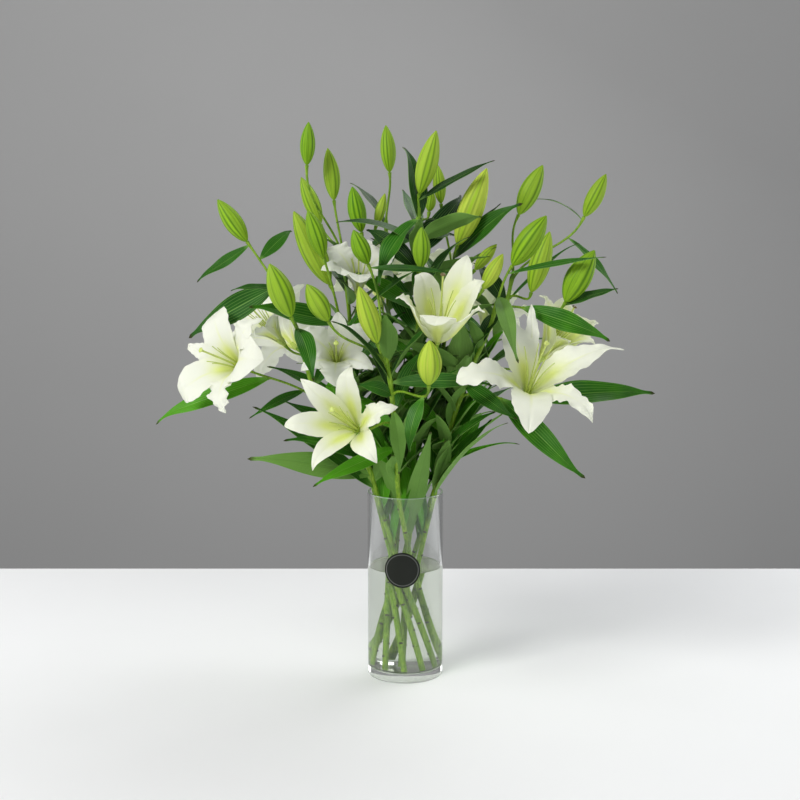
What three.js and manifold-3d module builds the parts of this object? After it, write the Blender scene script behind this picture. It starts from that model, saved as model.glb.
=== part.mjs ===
// Lilies in a glass cylinder vase. Millimetres, +Z up, origin at the middle of the vase's underside,
// the label's side facing -Y.

import * as THREE from 'three';
import { mergeVertices } from 'three/addons/utils/BufferGeometryUtils.js';
import Module from 'manifold-3d';

// Driving dimensions
const vase = { radius: 50, height: 250, wall: 3, floor: 12, heel: 2.5, lip: 0.8, sides: 32 };
const waterLevel = 149;
const gap = 0.3;
const label = { radius: 23.5, thickness: 0.6, standoff: 0.55, height: 155, turn: -4, rings: 3, sides: 16 };
const stemSize = { foot: 3.5, head: 2.6, sides: 6, footReach: 38, rimReach: 41.7, twist: 132, lift: 1.1 };
const stemWay = { tension: 0.5, steps: 2 };
const stemHole = { slack: 0.1, ends: [-0.1, 1.25] };
const stalkSize = { radius: 1.7, sides: 6, steps: 2, pull: 0.38, cuff: 5, underBloom: 1.1, cuffFlare: 1.9 };
const budShape = { along: [0.03, 0.28, 0.66, 1], swell: [0.42, 0.98, 0.9, 0.14] };
const budRidge = 0.09;
const leafSize = { thickness: 0.8, steps: 4, columns: 1, stalk: 0.16, skew: 0.78, round: 0.85 };
const leafWay = { bends: [0.33, 0.7], rise: 1.33 };
const petalSize = { thickness: 1, root: [4, 2.2], rootWidth: 2.4, layer: 2.4, skew: 0.95, round: 0.8 };
const petalClearance = 1.2;
const innerPetal = { share: 1, steps: 4, columns: 2, lift: 0.14, ruffle: 1.6 };
const outerPetal = { share: 0.74, steps: 4, columns: 1, lift: 0, ruffle: 0 };
// A petal's middle line, in shares of its length: [along the flower's axis, away from it] a way up from
// its root, then [along, how much an open flower loses of that, away] at its bend and at its tip
const petalWay = { rise: [0.42, 0.1], bend: [0.72, 0.16, 0.4], tip: [0.84, 0.38, 0.72] };
const cup = { reach: 15, foot: 5, mouth: 6.6, sides: 6 };
const pistil = { foot: 2.6, rise: 14, neck: 1.2, stigma: 3.1, head: 4, sides: 4, reach: 0.74 };
const filament = { radius: 0.8, count: 6, sides: 3, lift: 2, reach: 0.6, spread: 0.2 };

// Each stem: the compass angle where it leans on the rim, its way above the rim, its closed buds, its
// open blooms and its leaves. A bud is [height on the stem, base, tip, width]. A bloom is [height on
// the stem, base, facing, petal length, spread, phase, width]. A leaf is [shoot, place on it, tip,
// width, arch, roll], where shoot 0 is the stem and its place a height, and the others are the
// stalks of the buds and then of the blooms, and the place a share of the stalk's length.
const stems = {
  left_front: {
    rim: 205,
    rise: [[-50, -24, 290], [-80, -34, 335], [-112, -43, 380], [-128, -50, 430], [-136, -52, 470]],
    buds: [
      [468, [-201, -35, 581], [-238, -30, 634], 24],
      [462, [-141, -112, 494], [-166, -120, 560], 31],
    ],
    blooms: [[376, [-202, -49, 419], [-0.62, -0.67, 0.41], 107, 0.98, 95, 48]],
    leaves: [
      [1, 0.75, [-264, -60, 535], 15, -2, -50],
      [1, 0.55, [-146, 10, 595], 18, 5, 45],
      [1, 0.33, [-282, -10, 458], 36, 1, -72],
      [1, 0.3, [-219, -75, 524], 11, 5, -40],
      [2, 0.35, [-113, -150, 420], 24, 12, 0],
      [3, 0.45, [-329, -20, 350], 27, 3, -60],
      [3, 0.15, [-194, -110, 367], 13, 8, -45],
      [0, 256, [-189, -125, 388], 27, 8, -60],
      [0, 300, [-150, -120, 345], 20, 10, -60],
      [0, 275, [-196, -110, 318], 32, 10, -65],
      [0, 285, [-92, -95, 352], 24, 6, -40],
    ],
  },
  front_centre: {
    rim: 258,
    rise: [[-12, -60, 317], [-18, -85, 400], [-25, -88, 440]],
    buds: [
      [430, [-95, -115, 489], [-121, -120, 535], 26],
      [420, [-35, -112, 461], [-57, -125, 533], 26],
      [390, [28, -145, 414], [29, -150, 470], 30],
      [439, [-47, -65, 555], [-65, -70, 598], 23],
    ],
    blooms: [[350, [-58, -131, 355], [-0.31, -0.86, 0.39], 125, 0.8, 9, 34]],
    leaves: [
      [0, 432, [-24, -128, 500], 28, 6, 0],
      [0, 410, [-88, -128, 494], 16, 8, -35],
      [0, 392, [-59, -118, 410], 20, 6, -60],
      [0, 320, [-116, -150, 291], 20, 10, -60],
      [3, 0.5, [4, -160, 334], 22, 8, 0],
      [0, 370, [-7, -118, 297], 20, 10, 0],
      [0, 408, [109, -100, 410], 20, 8, 60],
      [0, 290, [22, -112, 400], 20, 6, 20],
      [4, 0.85, [58, -78, 546], 10, 3, 60],
      [0, 275, [-66, -60, 375], 24, 6, -30],
    ],
  },
  left_mid: {
    rim: 172,
    rise: [[-55, 5, 300], [-70, 0, 370], [-80, -5, 440], [-86, -10, 485]],
    buds: [
      [474, [-104, -38, 561], [-123, -45, 621], 24],
      [484, [-98, 0, 523], [-143, -10, 618], 32],
    ],
    blooms: [
      [385, [-88, -34, 424], [0, -0.84, 0.54], 86, 0.85, 30, 34],
      [415, [-160, 35, 440], [-0.6, -0.25, 0.75], 105, 0.95, 10, 36],
    ],
    leaves: [
      [0, 474, [-191, -97, 508], 30, 0, -60],
      [0, 300, [-165, 30, 365], 24, 12, -30],
      [0, 350, [-182, 24, 414], 22, 10, -20],
      [0, 262, [-78, -35, 385], 22, 6, -30],
      [0, 380, [-45, -60, 420], 22, 6, 30],
    ],
  },
  left_back: {
    rim: 136,
    rise: [[-50, 55, 310], [-68, 80, 400], [-78, 88, 500], [-84, 86, 560]],
    buds: [
      [548, [-129, 50, 675], [-126, 45, 731], 20],
      [558, [-95, 80, 628], [-103, 82, 697], 22],
      [550, [-114, 100, 595], [-140, 105, 658], 22],
      [545, [-58, 60, 587], [-70, 60, 647], 24],
    ],
    blooms: [
      [435, [-62, 18, 508], [0.05, -0.45, 0.88], 96, 0.75, 25, 40],
      [400, [-150, 130, 422], [-0.5, 0.8, 0.33], 110, 0.95, 0, 36],
    ],
    leaves: [
      [0, 300, [-110, 140, 350], 24, 12, 0],
      [0, 360, [-150, 150, 400], 22, 12, 0],
      [0, 500, [-140, 150, 560], 20, 12, 0],
      [0, 265, [-70, 95, 380], 24, 8, 0],
      [0, 280, [-38, 22, 420], 26, 5, -20],
      [0, 420, [-110, 60, 500], 24, 8, 0],
    ],
  },
  centre_back: {
    rim: 98,
    rise: [[-10, 62, 310], [-18, 90, 400], [-24, 105, 500], [-26, 112, 600]],
    buds: [
      [596, [-21, 115, 664], [-26, 120, 727], 21],
      [560, [-39, 85, 594], [-27, 88, 637], 14],
      [520, [-22, 50, 560], [-7, 46, 593], 14],
    ],
    blooms: [[430, [-32, 132, 482], [-0.15, 0.6, 0.79], 112, 0.9, 30, 36]],
    leaves: [
      [0, 290, [-25, 165, 330], 24, 12, 0],
      [0, 350, [20, 185, 380], 22, 12, 0],
      [0, 540, [30, 190, 590], 20, 12, 0],
      [0, 270, [28, 110, 385], 24, 4, 40],
      [0, 300, [4, 60, 440], 26, 4, 0],
      [0, 590, [-75, 140, 650], 18, 8, 0],
    ],
  },
  centre: {
    rim: 30,
    foot: 240,
    reach: 0.2,
    rise: [[12, 5, 320], [15, 0, 400], [17, -2, 500], [17, 3, 600], [17, 4, 622]],
    buds: [
      [620, [18, 0, 640], [39, -15, 720], 27],
      [600, [31, 35, 615], [35, 38, 642], 14],
      [470, [19, -55, 549], [20, -60, 601], 23],
    ],
    blooms: [[380, [40, -80, 457], [0.07, -0.56, 0.83], 144, 0.58, 15, 43]],
    leaves: [
      [0, 606, [0, 26, 702], 30, 8, 0],
      [1, 0.4, [114, -5, 684], 12, 3, 50],
      [0, 608, [-36, -50, 526], 34, 12, 0],
      [0, 590, [60, 42, 586], 32, 8, 50],
      [0, 185, [34, -90, 352], 26, 4, 0],
      [0, 192, [80, -8, 345], 26, 4, 0],
      [0, 190, [-50, -66, 345], 24, 4, 0],
      [0, 300, [62, -55, 410], 26, 6, 40],
      [0, 340, [40, -45, 440], 26, 4, 30],
      [0, 270, [30, 45, 380], 22, 6, 0],
      [0, 262, [-14, -34, 410], 26, 5, -15],
      [0, 500, [80, -20, 590], 26, 8, 30],
    ],
  },
  right_mid: {
    rim: 58,
    rise: [[34, 55, 310], [48, 72, 400], [58, 75, 490], [64, 66, 545]],
    buds: [
      [543, [68, 25, 572], [105, 15, 672], 33],
      [520, [91, 25, 540], [119, 20, 574], 16],
      [500, [100, -10, 518], [125, -15, 564], 20],
      [530, [47, 50, 625], [42, 50, 676], 17],
    ],
    blooms: [
      [420, [106, 98, 440], [0.3, 0.5, 0.8], 108, 0.85, 0, 36],
      [450, [46, 128, 478], [0.05, 0.6, 0.78], 106, 0.75, 30, 34],
    ],
    leaves: [
      [1, 0.2, [146, -10, 631], 30, 6, 68],
      [1, 0.15, [126, 45, 625], 20, 6, 40],
      [0, 300, [95, 140, 345], 24, 12, 0],
      [0, 360, [120, 160, 400], 22, 12, 0],
      [0, 270, [72, 70, 390], 24, 8, 0],
      [0, 256, [66, 8, 400], 26, 5, 30],
      [0, 480, [20, 110, 560], 22, 8, 0],
    ],
  },
  right_front: {
    rim: 335,
    rise: [[48, -22, 300], [76, -34, 396], [106, -44, 469], [116, -45, 505]],
    buds: [
      [503, [135, -50, 552], [176, -60, 615], 31],
      [492, [202, -55, 506], [237, -60, 572], 33],
    ],
    blooms: [[380, [152, -81, 389], [0.12, -0.71, 0.7], 151, 0.95, 16, 38]],
    leaves: [
      [0, 245, [127, -118, 367], 24, 10, 20],
      [0, 300, [112, -90, 372], 24, 8, 50],
      [0, 285, [142, -85, 334], 10, 8, 40],
      [0, 398, [137, -118, 365], 22, 8, 50],
      [0, 380, [71, -60, 487], 38, 6, 0],
      [1, 0.1, [134, -150, 442], 22, 18, 10],
      [2, 0.25, [258, -80, 462], 27, 6, 62],
      [1, 0.55, [248, -90, 566], 13, 3, 35],
      [2, 0.85, [268, -62, 524], 14, 4, 50],
      [3, 0.35, [221, -125, 291], 30, 10, 55],
      [3, 0.65, [318, -45, 389], 33, 10, 55],
      [0, 262, [112, -55, 355], 24, 6, 40],
      [0, 252, [70, -58, 338], 24, 5, 20],
    ],
  },
  right_back: {
    rim: 18,
    rise: [[60, 20, 310], [98, 32, 400], [130, 42, 480], [142, 48, 530]],
    buds: [
      [528, [150, 60, 610], [181, 60, 675], 27],
      [524, [235, 45, 608], [262, 40, 664], 22],
      [500, [164, 10, 512], [187, 10, 591], 28],
    ],
    blooms: [[400, [177, 20, 420], [0.48, -0.35, 0.8], 122, 0.55, 30, 44]],
    leaves: [
      [0, 495, [227, 44, 577], 8, 5, 30],
      [2, 0.5, [283, 60, 506], 15, 6, 45],
      [2, 0.75, [168, 80, 629], 6, 10, 0],
      [0, 320, [150, 110, 370], 24, 12, 0],
      [0, 400, [210, 120, 440], 22, 12, 0],
      [0, 275, [118, 25, 390], 24, 8, 20],
    ],
  },
};

const green = { color: 0x5c8f2e, roughness: 0.55, metalness: 0 };
const white = { color: 0xf4f3ea, roughness: 0.5, metalness: 0, side: THREE.DoubleSide };
const lime = { color: 0xc3d17a, roughness: 0.5, metalness: 0 };
const glass = { color: 0xeaf4f0, roughness: 0.05, metalness: 0, transparent: true, opacity: 0.35 };
const clearWater = { color: 0xdfeee2, roughness: 0.05, metalness: 0, transparent: true, opacity: 0.45 };
const charcoal = { color: 0x2c2f31, roughness: 0.6, metalness: 0 };

const wasm = await Module();
wasm.setup();

const up = new THREE.Vector3(0, 0, 1);
const vector = ([x, y, z]) => new THREE.Vector3(x, y, z);
const polar = (radius, degrees, z) => new THREE.Vector3(
  radius * Math.cos(THREE.MathUtils.degToRad(degrees)),
  radius * Math.sin(THREE.MathUtils.degToRad(degrees)),
  z,
);

// Geometry and solids

function solidOf(geometry) {
  const bare = geometry.clone();
  bare.deleteAttribute('normal');
  bare.deleteAttribute('uv');
  const merged = mergeVertices(bare, 1e-4);
  const mesh = new wasm.Mesh({
    numProp: 3,
    vertProperties: new Float32Array(merged.attributes.position.array),
    triVerts: new Uint32Array(merged.index.array),
  });
  return new wasm.Manifold(mesh);
}

function geometryOf(solid) {
  const mesh = solid.getMesh();
  const geometry = new THREE.BufferGeometry();
  geometry.setAttribute('position', new THREE.BufferAttribute(mesh.vertProperties, 3));
  geometry.setIndex(new THREE.BufferAttribute(mesh.triVerts, 1));
  geometry.computeVertexNormals();
  return geometry;
}

function indexed(points, triangles) {
  const geometry = new THREE.BufferGeometry();
  geometry.setAttribute('position', new THREE.Float32BufferAttribute(points.flatMap((p) => p.toArray()), 3));
  geometry.setIndex(triangles.flat());
  return geometry;
}

const joined = (solids) => solids.reduce((whole, solid) => whole.add(solid));

// A closed tube through rings of the given centres and radii; ridge makes every other side swell
function tube(centres, radii, sides, ridge = 0) {
  const points = [];
  const triangles = [];
  let across = null;
  centres.forEach((centre, i) => {
    const before = centres[Math.max(i - 1, 0)];
    const after = centres[Math.min(i + 1, centres.length - 1)];
    const along = after.clone().sub(before).normalize();
    if (!across) across = new THREE.Vector3(1, 0, 0).cross(along).normalize();
    across.addScaledVector(along, -across.dot(along)).normalize();
    const third = along.clone().cross(across);
    for (let k = 0; k < sides; k += 1) {
      const angle = (2 * Math.PI * k) / sides;
      const reach = radii[i] * (k % 2 ? 1 - ridge : 1);
      points.push(centre.clone()
        .addScaledVector(across, reach * Math.cos(angle))
        .addScaledVector(third, reach * Math.sin(angle)));
    }
  });
  for (let i = 0; i + 1 < centres.length; i += 1) {
    for (let k = 0; k < sides; k += 1) {
      const a = i * sides + k;
      const b = i * sides + ((k + 1) % sides);
      triangles.push([a, b, b + sides], [a, b + sides, a + sides]);
    }
  }
  const last = (centres.length - 1) * sides;
  for (let k = 1; k + 1 < sides; k += 1) {
    triangles.push([0, k + 1, k], [last, last + k, last + k + 1]);
  }
  return indexed(points, triangles);
}

// A closed blade along a curve, both faces split alike: rows of points from edge to edge at each step,
// and one at the tip. side points across the blade, lift raises its edges and ruffle waves them
function blade({ curve, side, halfWidth, steps, columns, thickness, lift = 0, ruffle = 0 }) {
  const points = [];
  const triangles = [];
  for (let i = 0; i <= steps; i += 1) {
    const t = i / steps;
    const centre = curve.getPoint(t);
    const along = curve.getTangent(t);
    const across = side.clone().addScaledVector(along, -side.dot(along)).normalize();
    const face = across.clone().cross(along);
    const reach = halfWidth(t);
    for (let j = 0; j <= (i < steps ? columns : 0); j += 1) {
      const edge = i < steps ? (2 * j) / columns - 1 : 0;
      const wave = i > 1 ? ruffle * (i % 2 ? edge : -edge) : 0;
      const middle = centre.clone()
        .addScaledVector(across, edge * reach)
        .addScaledVector(face, Math.abs(edge) * lift * reach + wave);
      points.push(middle.clone().addScaledVector(face, thickness / 2));
      points.push(middle.clone().addScaledVector(face, -thickness / 2));
    }
  }
  const row = 2 * (columns + 1);
  const top = (i, j) => row * i + (i < steps ? 2 * j : 0);
  const bottom = (i, j) => top(i, j) + 1;
  for (let i = 0; i < steps; i += 1) {
    for (let j = 0; j < columns; j += 1) {
      triangles.push([top(i, j), top(i, j + 1), top(i + 1, j + 1)]);
      triangles.push([bottom(i, j), bottom(i + 1, j + 1), bottom(i, j + 1)]);
      if (i + 1 < steps) {
        triangles.push([top(i, j), top(i + 1, j + 1), top(i + 1, j)]);
        triangles.push([bottom(i, j), bottom(i + 1, j), bottom(i + 1, j + 1)]);
      }
    }
    const right = [bottom(i, columns), bottom(i + 1, columns), top(i + 1, columns), top(i, columns)];
    const left = [bottom(i, 0), top(i, 0), top(i + 1, 0), bottom(i + 1, 0)];
    for (const [a, b, c, d] of [right, left]) triangles.push([a, b, c], [a, c, d]);
  }
  for (let j = 0; j < columns; j += 1) {
    triangles.push([bottom(0, j), bottom(0, j + 1), top(0, j + 1)], [bottom(0, j), top(0, j + 1), top(0, j)]);
  }
  return indexed(points, triangles);
}

// Stems, stalks, buds and leaves

// A stem's middle line: straight from the vase's floor to the rim, then curving up its own way
function stemLine({ rim, rise, foot = rim + stemSize.twist, reach = 1 }) {
  const start = polar(stemSize.footReach * reach, foot, vase.floor + gap + stemSize.lift);
  const lean = polar(stemSize.rimReach * reach, rim, vase.height);
  const way = [lean, ...rise.map(vector)];
  const above = new THREE.CatmullRomCurve3(way, false, 'catmullrom', stemWay.tension);
  return [start, start.clone().lerp(lean, 0.5), ...above.getPoints(stemWay.steps * rise.length)];
}

// The point at a share of a line's length, counted in its steps, and the way the line runs there
function pointOn(line, share) {
  const place = share * (line.length - 1);
  const step = Math.min(Math.floor(place), line.length - 2);
  const point = line[step].clone().lerp(line[step + 1], place - step);
  return { point, along: line[step + 1].clone().sub(line[step]).normalize() };
}

function shareAtHeight(line, height) {
  const step = Math.max(line.findIndex((point) => point.z > height), 1) - 1;
  return (step + (height - line[step].z) / (line[step + 1].z - line[step].z)) / (line.length - 1);
}

// A stalk leaves the stem upwards and arrives along its flower's own axis
function stalkLine(stem, height, base, axis) {
  const { point: root, along } = pointOn(stem, shareAtHeight(stem, height));
  const reach = root.distanceTo(base);
  const away = base.clone().sub(root).normalize().add(along).normalize();
  const curve = new THREE.CubicBezierCurve3(
    root,
    root.clone().addScaledVector(away, reach * stalkSize.pull),
    base.clone().addScaledVector(axis, -reach * stalkSize.pull),
    base.clone().addScaledVector(axis, -stalkSize.cuff),
  );
  return [...curve.getPoints(stalkSize.steps), base];
}

function budSolid(stalk, base, tip, width) {
  const centres = stalk.slice(0, -1);
  const radii = centres.map(() => stalkSize.radius);
  budShape.along.forEach((share, i) => {
    centres.push(base.clone().lerp(tip, share));
    radii.push(budShape.swell[i] * width / 2);
  });
  return solidOf(tube(centres, radii, stalkSize.sides, budRidge));
}

function leafSolid(root, tip, width, arch, roll) {
  const chord = tip.clone().sub(root);
  const heading = new THREE.Vector3(chord.x, chord.y, 0).normalize();
  const side = heading.clone().cross(up);
  side.applyAxisAngle(chord.clone().normalize(), THREE.MathUtils.degToRad(roll));
  const face = side.clone().cross(chord).normalize();
  const bends = leafWay.bends.map((share) => root.clone()
    .addScaledVector(chord, share).addScaledVector(face, arch * leafWay.rise));
  const curve = new THREE.CubicBezierCurve3(root, ...bends, tip);
  const outline = (t) => Math.sin(Math.PI * t ** leafSize.skew) ** leafSize.round;
  const halfWidth = (t) => (width / 2) * Math.max(leafSize.stalk, outline(t));
  return solidOf(blade({
    curve, side, halfWidth, steps: leafSize.steps, columns: leafSize.columns, thickness: leafSize.thickness,
  }));
}

function leafyStem(plan) {
  const line = stemLine(plan);
  const radii = line.map((_, i) => THREE.MathUtils.lerp(stemSize.foot, stemSize.head, i / (line.length - 1)));
  const solids = [solidOf(tube(line, radii, stemSize.sides))];
  const shoots = [line];
  for (const [height, baseAt, tipAt, width] of plan.buds) {
    const base = vector(baseAt);
    const tip = vector(tipAt);
    const stalk = stalkLine(line, height, base, tip.clone().sub(base).normalize());
    shoots.push(stalk);
    solids.push(budSolid(stalk, base, tip, width));
  }
  for (const [height, baseAt, facing] of plan.blooms) {
    const stalk = stalkLine(line, height, vector(baseAt), vector(facing).normalize());
    shoots.push(stalk);
    const { radius, steps, underBloom, cuffFlare } = stalkSize;
    const widths = stalk.map((_, i) => radius * (i > steps ? cuffFlare : underBloom));
    solids.push(solidOf(tube(stalk, widths, stalkSize.sides)));
  }
  for (const [shoot, place, tip, width, arch, roll] of plan.leaves) {
    const share = shoot ? place : shareAtHeight(line, place);
    solids.push(leafSolid(pointOn(shoots[shoot], share).point, vector(tip), width, arch, roll));
  }
  return solids;
}

// Blooms

function bloomFrame([, baseAt, facing]) {
  const axis = vector(facing).normalize();
  const across = new THREE.Vector3(1, 0, 0);
  across.addScaledVector(axis, -across.dot(axis)).normalize();
  return { base: vector(baseAt).addScaledVector(axis, gap), axis, across, third: axis.clone().cross(across) };
}

// A petal's middle line in its own plane: along the flower's axis first, then out, its end curled back
function petalCurve({ base, axis }, out, length, spread, layer) {
  const at = (along, away) => base.clone().addScaledVector(axis, along).addScaledVector(out, away + layer);
  const opened = ([along, loss, away]) => at(length * (along - loss * spread), length * away * spread);
  const { rise, bend, tip } = petalWay;
  return new THREE.CubicBezierCurve3(
    at(...petalSize.root), at(length * rise[0], length * rise[1]), opened(bend), opened(tip),
  );
}

function petals(plan) {
  const [, , , length, spread, phase, width] = plan;
  const frame = bloomFrame(plan);
  const { base, axis, across, third } = frame;
  // Half the width that an inner petal has there inside the two outer ones beside it
  const roomAt = (point) => {
    const away = point.clone().sub(base).projectOnPlane(axis).length();
    const between = petalSize.layer - petalClearance * petalSize.thickness;
    return away * Math.tan(Math.PI / 6) + between / Math.cos(Math.PI / 6);
  };
  const core = [0, 0.5, 1].map((t) => base.clone().addScaledVector(axis, t * cup.reach));
  const coreRadii = [cup.foot, (cup.foot + cup.mouth) / 2, cup.mouth];
  const solids = [solidOf(tube(core, coreRadii, cup.sides))];
  for (let k = 0; k < 6; k += 1) {
    const angle = THREE.MathUtils.degToRad(phase + 60 * k);
    const out = across.clone().multiplyScalar(Math.cos(angle)).addScaledVector(third, Math.sin(angle));
    const side = across.clone().multiplyScalar(Math.sin(angle)).addScaledVector(third, -Math.cos(angle));
    const inner = k % 2 === 0;
    const { share, steps, columns, lift, ruffle } = inner ? innerPetal : outerPetal;
    const curve = petalCurve(frame, out, length, spread, inner ? 0 : petalSize.layer);
    const { thickness, rootWidth, skew, round } = petalSize;
    const outline = (t) => (share * width / 2) * Math.sin(Math.PI * t ** skew) ** round;
    const full = (t) => Math.max(rootWidth, outline(t));
    const halfWidth = inner ? (t) => Math.min(full(t), roomAt(curve.getPoint(t))) : full;
    solids.push(solidOf(blade({ curve, side, halfWidth, steps, columns, thickness, lift, ruffle })));
  }
  return solids;
}

function pistilAndFilaments(plan) {
  const length = plan[3];
  const { base, axis, across, third } = bloomFrame(plan);
  const at = (along, away, angle) => base.clone().addScaledVector(axis, along)
    .addScaledVector(across, away * Math.cos(angle)).addScaledVector(third, away * Math.sin(angle));
  const foot = cup.reach + gap;
  const reach = length * pistil.reach;
  const centres = [foot, foot + pistil.rise, reach - pistil.head, reach].map((along) => at(along, 0, 0));
  const radii = [pistil.foot, pistil.neck, pistil.neck, pistil.stigma];
  const solids = [solidOf(tube(centres, radii, pistil.sides))];
  for (let k = 0; k < filament.count; k += 1) {
    const angle = (2 * Math.PI * (k + 0.5)) / filament.count;
    const end = length * filament.reach;
    const line = [at(foot + filament.lift, pistil.foot / 2, angle), at(end, filament.spread * end, angle)];
    solids.push(solidOf(tube(line, [filament.radius, filament.radius], filament.sides)));
  }
  return solids;
}

// Vase, water and label

const ring = (pairs) => new THREE.LatheGeometry(pairs.map(([r, z]) => new THREE.Vector2(r, z)), vase.sides)
  .rotateX(Math.PI / 2);

function vaseGeometry() {
  const { radius, height, wall, floor, heel, lip } = vase;
  const bore = radius - wall;
  return ring([
    [0, 0], [radius - heel, 0], [radius, heel], [radius, height - lip], [radius - lip, height],
    [bore + lip, height], [bore, height - lip], [bore, floor + heel], [bore - heel, floor], [0, floor],
  ]);
}

function waterGeometry() {
  const bore = vase.radius - vase.wall - gap;
  const floor = vase.floor + gap;
  const body = solidOf(ring([
    [0, floor], [bore - vase.heel, floor], [bore, floor + vase.heel], [bore, waterLevel], [0, waterLevel],
  ]));
  const holes = Object.values(stems).map((plan) => {
    const [foot, middle] = stemLine(plan);
    const ends = stemHole.ends.map((share) => foot.clone().lerp(middle, share));
    return solidOf(tube(ends, ends.map(() => stemSize.foot + gap + stemHole.slack), stemSize.sides));
  });
  return geometryOf(holes.reduce((left, hole) => left.subtract(hole), body));
}

function labelGeometry() {
  const points = [];
  const triangles = [];
  const count = 1 + label.rings * label.sides;
  const back = vase.radius + label.standoff;
  for (const radius of [back, back + label.thickness]) {
    for (let n = 0; n <= label.rings; n += 1) {
      const reach = (label.radius * n) / label.rings;
      for (let k = 0; k < (n ? label.sides : 1); k += 1) {
        const angle = (2 * Math.PI * k) / label.sides;
        const turn = (label.turn + reach * Math.cos(angle)) / vase.radius;
        points.push(new THREE.Vector3(
          radius * Math.sin(turn), -radius * Math.cos(turn), label.height + reach * Math.sin(angle),
        ));
      }
    }
  }
  const at = (n, k) => (n ? 1 + (n - 1) * label.sides + (k % label.sides) : 0);
  for (let k = 0; k < label.sides; k += 1) {
    triangles.push([count + at(0, 0), count + at(1, k), count + at(1, k + 1)]);
    triangles.push([at(0, 0), at(1, k + 1), at(1, k)]);
    for (let n = 1; n < label.rings; n += 1) {
      const square = [at(n, k), at(n + 1, k), at(n + 1, k + 1), at(n, k + 1)];
      const [a, b, c, d] = square;
      triangles.push([a + count, b + count, c + count], [a + count, c + count, d + count]);
      triangles.push([a, c, b], [a, d, c]);
    }
    const a = at(label.rings, k);
    const b = at(label.rings, k + 1);
    triangles.push([a, b, b + count], [a, b + count, a + count]);
  }
  return indexed(points, triangles);
}

// The whole

const lilies = new THREE.Group();
const place = (name, geometry, look) => {
  const mesh = new THREE.Mesh(geometry, new THREE.MeshStandardMaterial(look));
  mesh.name = name;
  lilies.add(mesh);
};

place('vase', vaseGeometry(), glass);
place('water', waterGeometry(), clearWater);
place('label', labelGeometry(), charcoal);

for (const [name, plan] of Object.entries(stems)) {
  place(`stem_${name}`, geometryOf(joined(leafyStem(plan))), green);
  plan.blooms.forEach((bloom, i) => {
    const suffix = `${name}_${i + 1}`;
    place(`bloom_${suffix}`, geometryOf(joined(petals(bloom))), white);
    place(`pistil_${suffix}`, geometryOf(joined(pistilAndFilaments(bloom))), lime);
  });
}

export default lilies;
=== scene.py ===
import math
import random

import bmesh
import bpy
import numpy as np
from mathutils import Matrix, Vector


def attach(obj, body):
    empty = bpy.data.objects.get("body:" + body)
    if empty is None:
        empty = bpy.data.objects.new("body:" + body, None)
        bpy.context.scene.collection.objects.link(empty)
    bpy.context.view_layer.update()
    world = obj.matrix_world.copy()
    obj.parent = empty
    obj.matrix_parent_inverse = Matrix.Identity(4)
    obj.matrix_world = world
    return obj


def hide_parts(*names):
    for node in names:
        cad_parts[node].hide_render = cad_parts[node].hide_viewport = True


# Lilies in a glass cylinder vase. The arrangement is given in millimetres and built in metres.

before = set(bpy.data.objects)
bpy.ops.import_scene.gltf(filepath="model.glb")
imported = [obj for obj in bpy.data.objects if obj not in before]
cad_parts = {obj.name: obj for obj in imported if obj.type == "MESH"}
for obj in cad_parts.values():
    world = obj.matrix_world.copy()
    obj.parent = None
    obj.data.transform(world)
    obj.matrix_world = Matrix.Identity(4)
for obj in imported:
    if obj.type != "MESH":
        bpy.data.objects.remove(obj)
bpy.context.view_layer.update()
mm = 0.001
up = np.array([0.0, 0.0, 1.0])
dice = random.Random(11)

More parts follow.
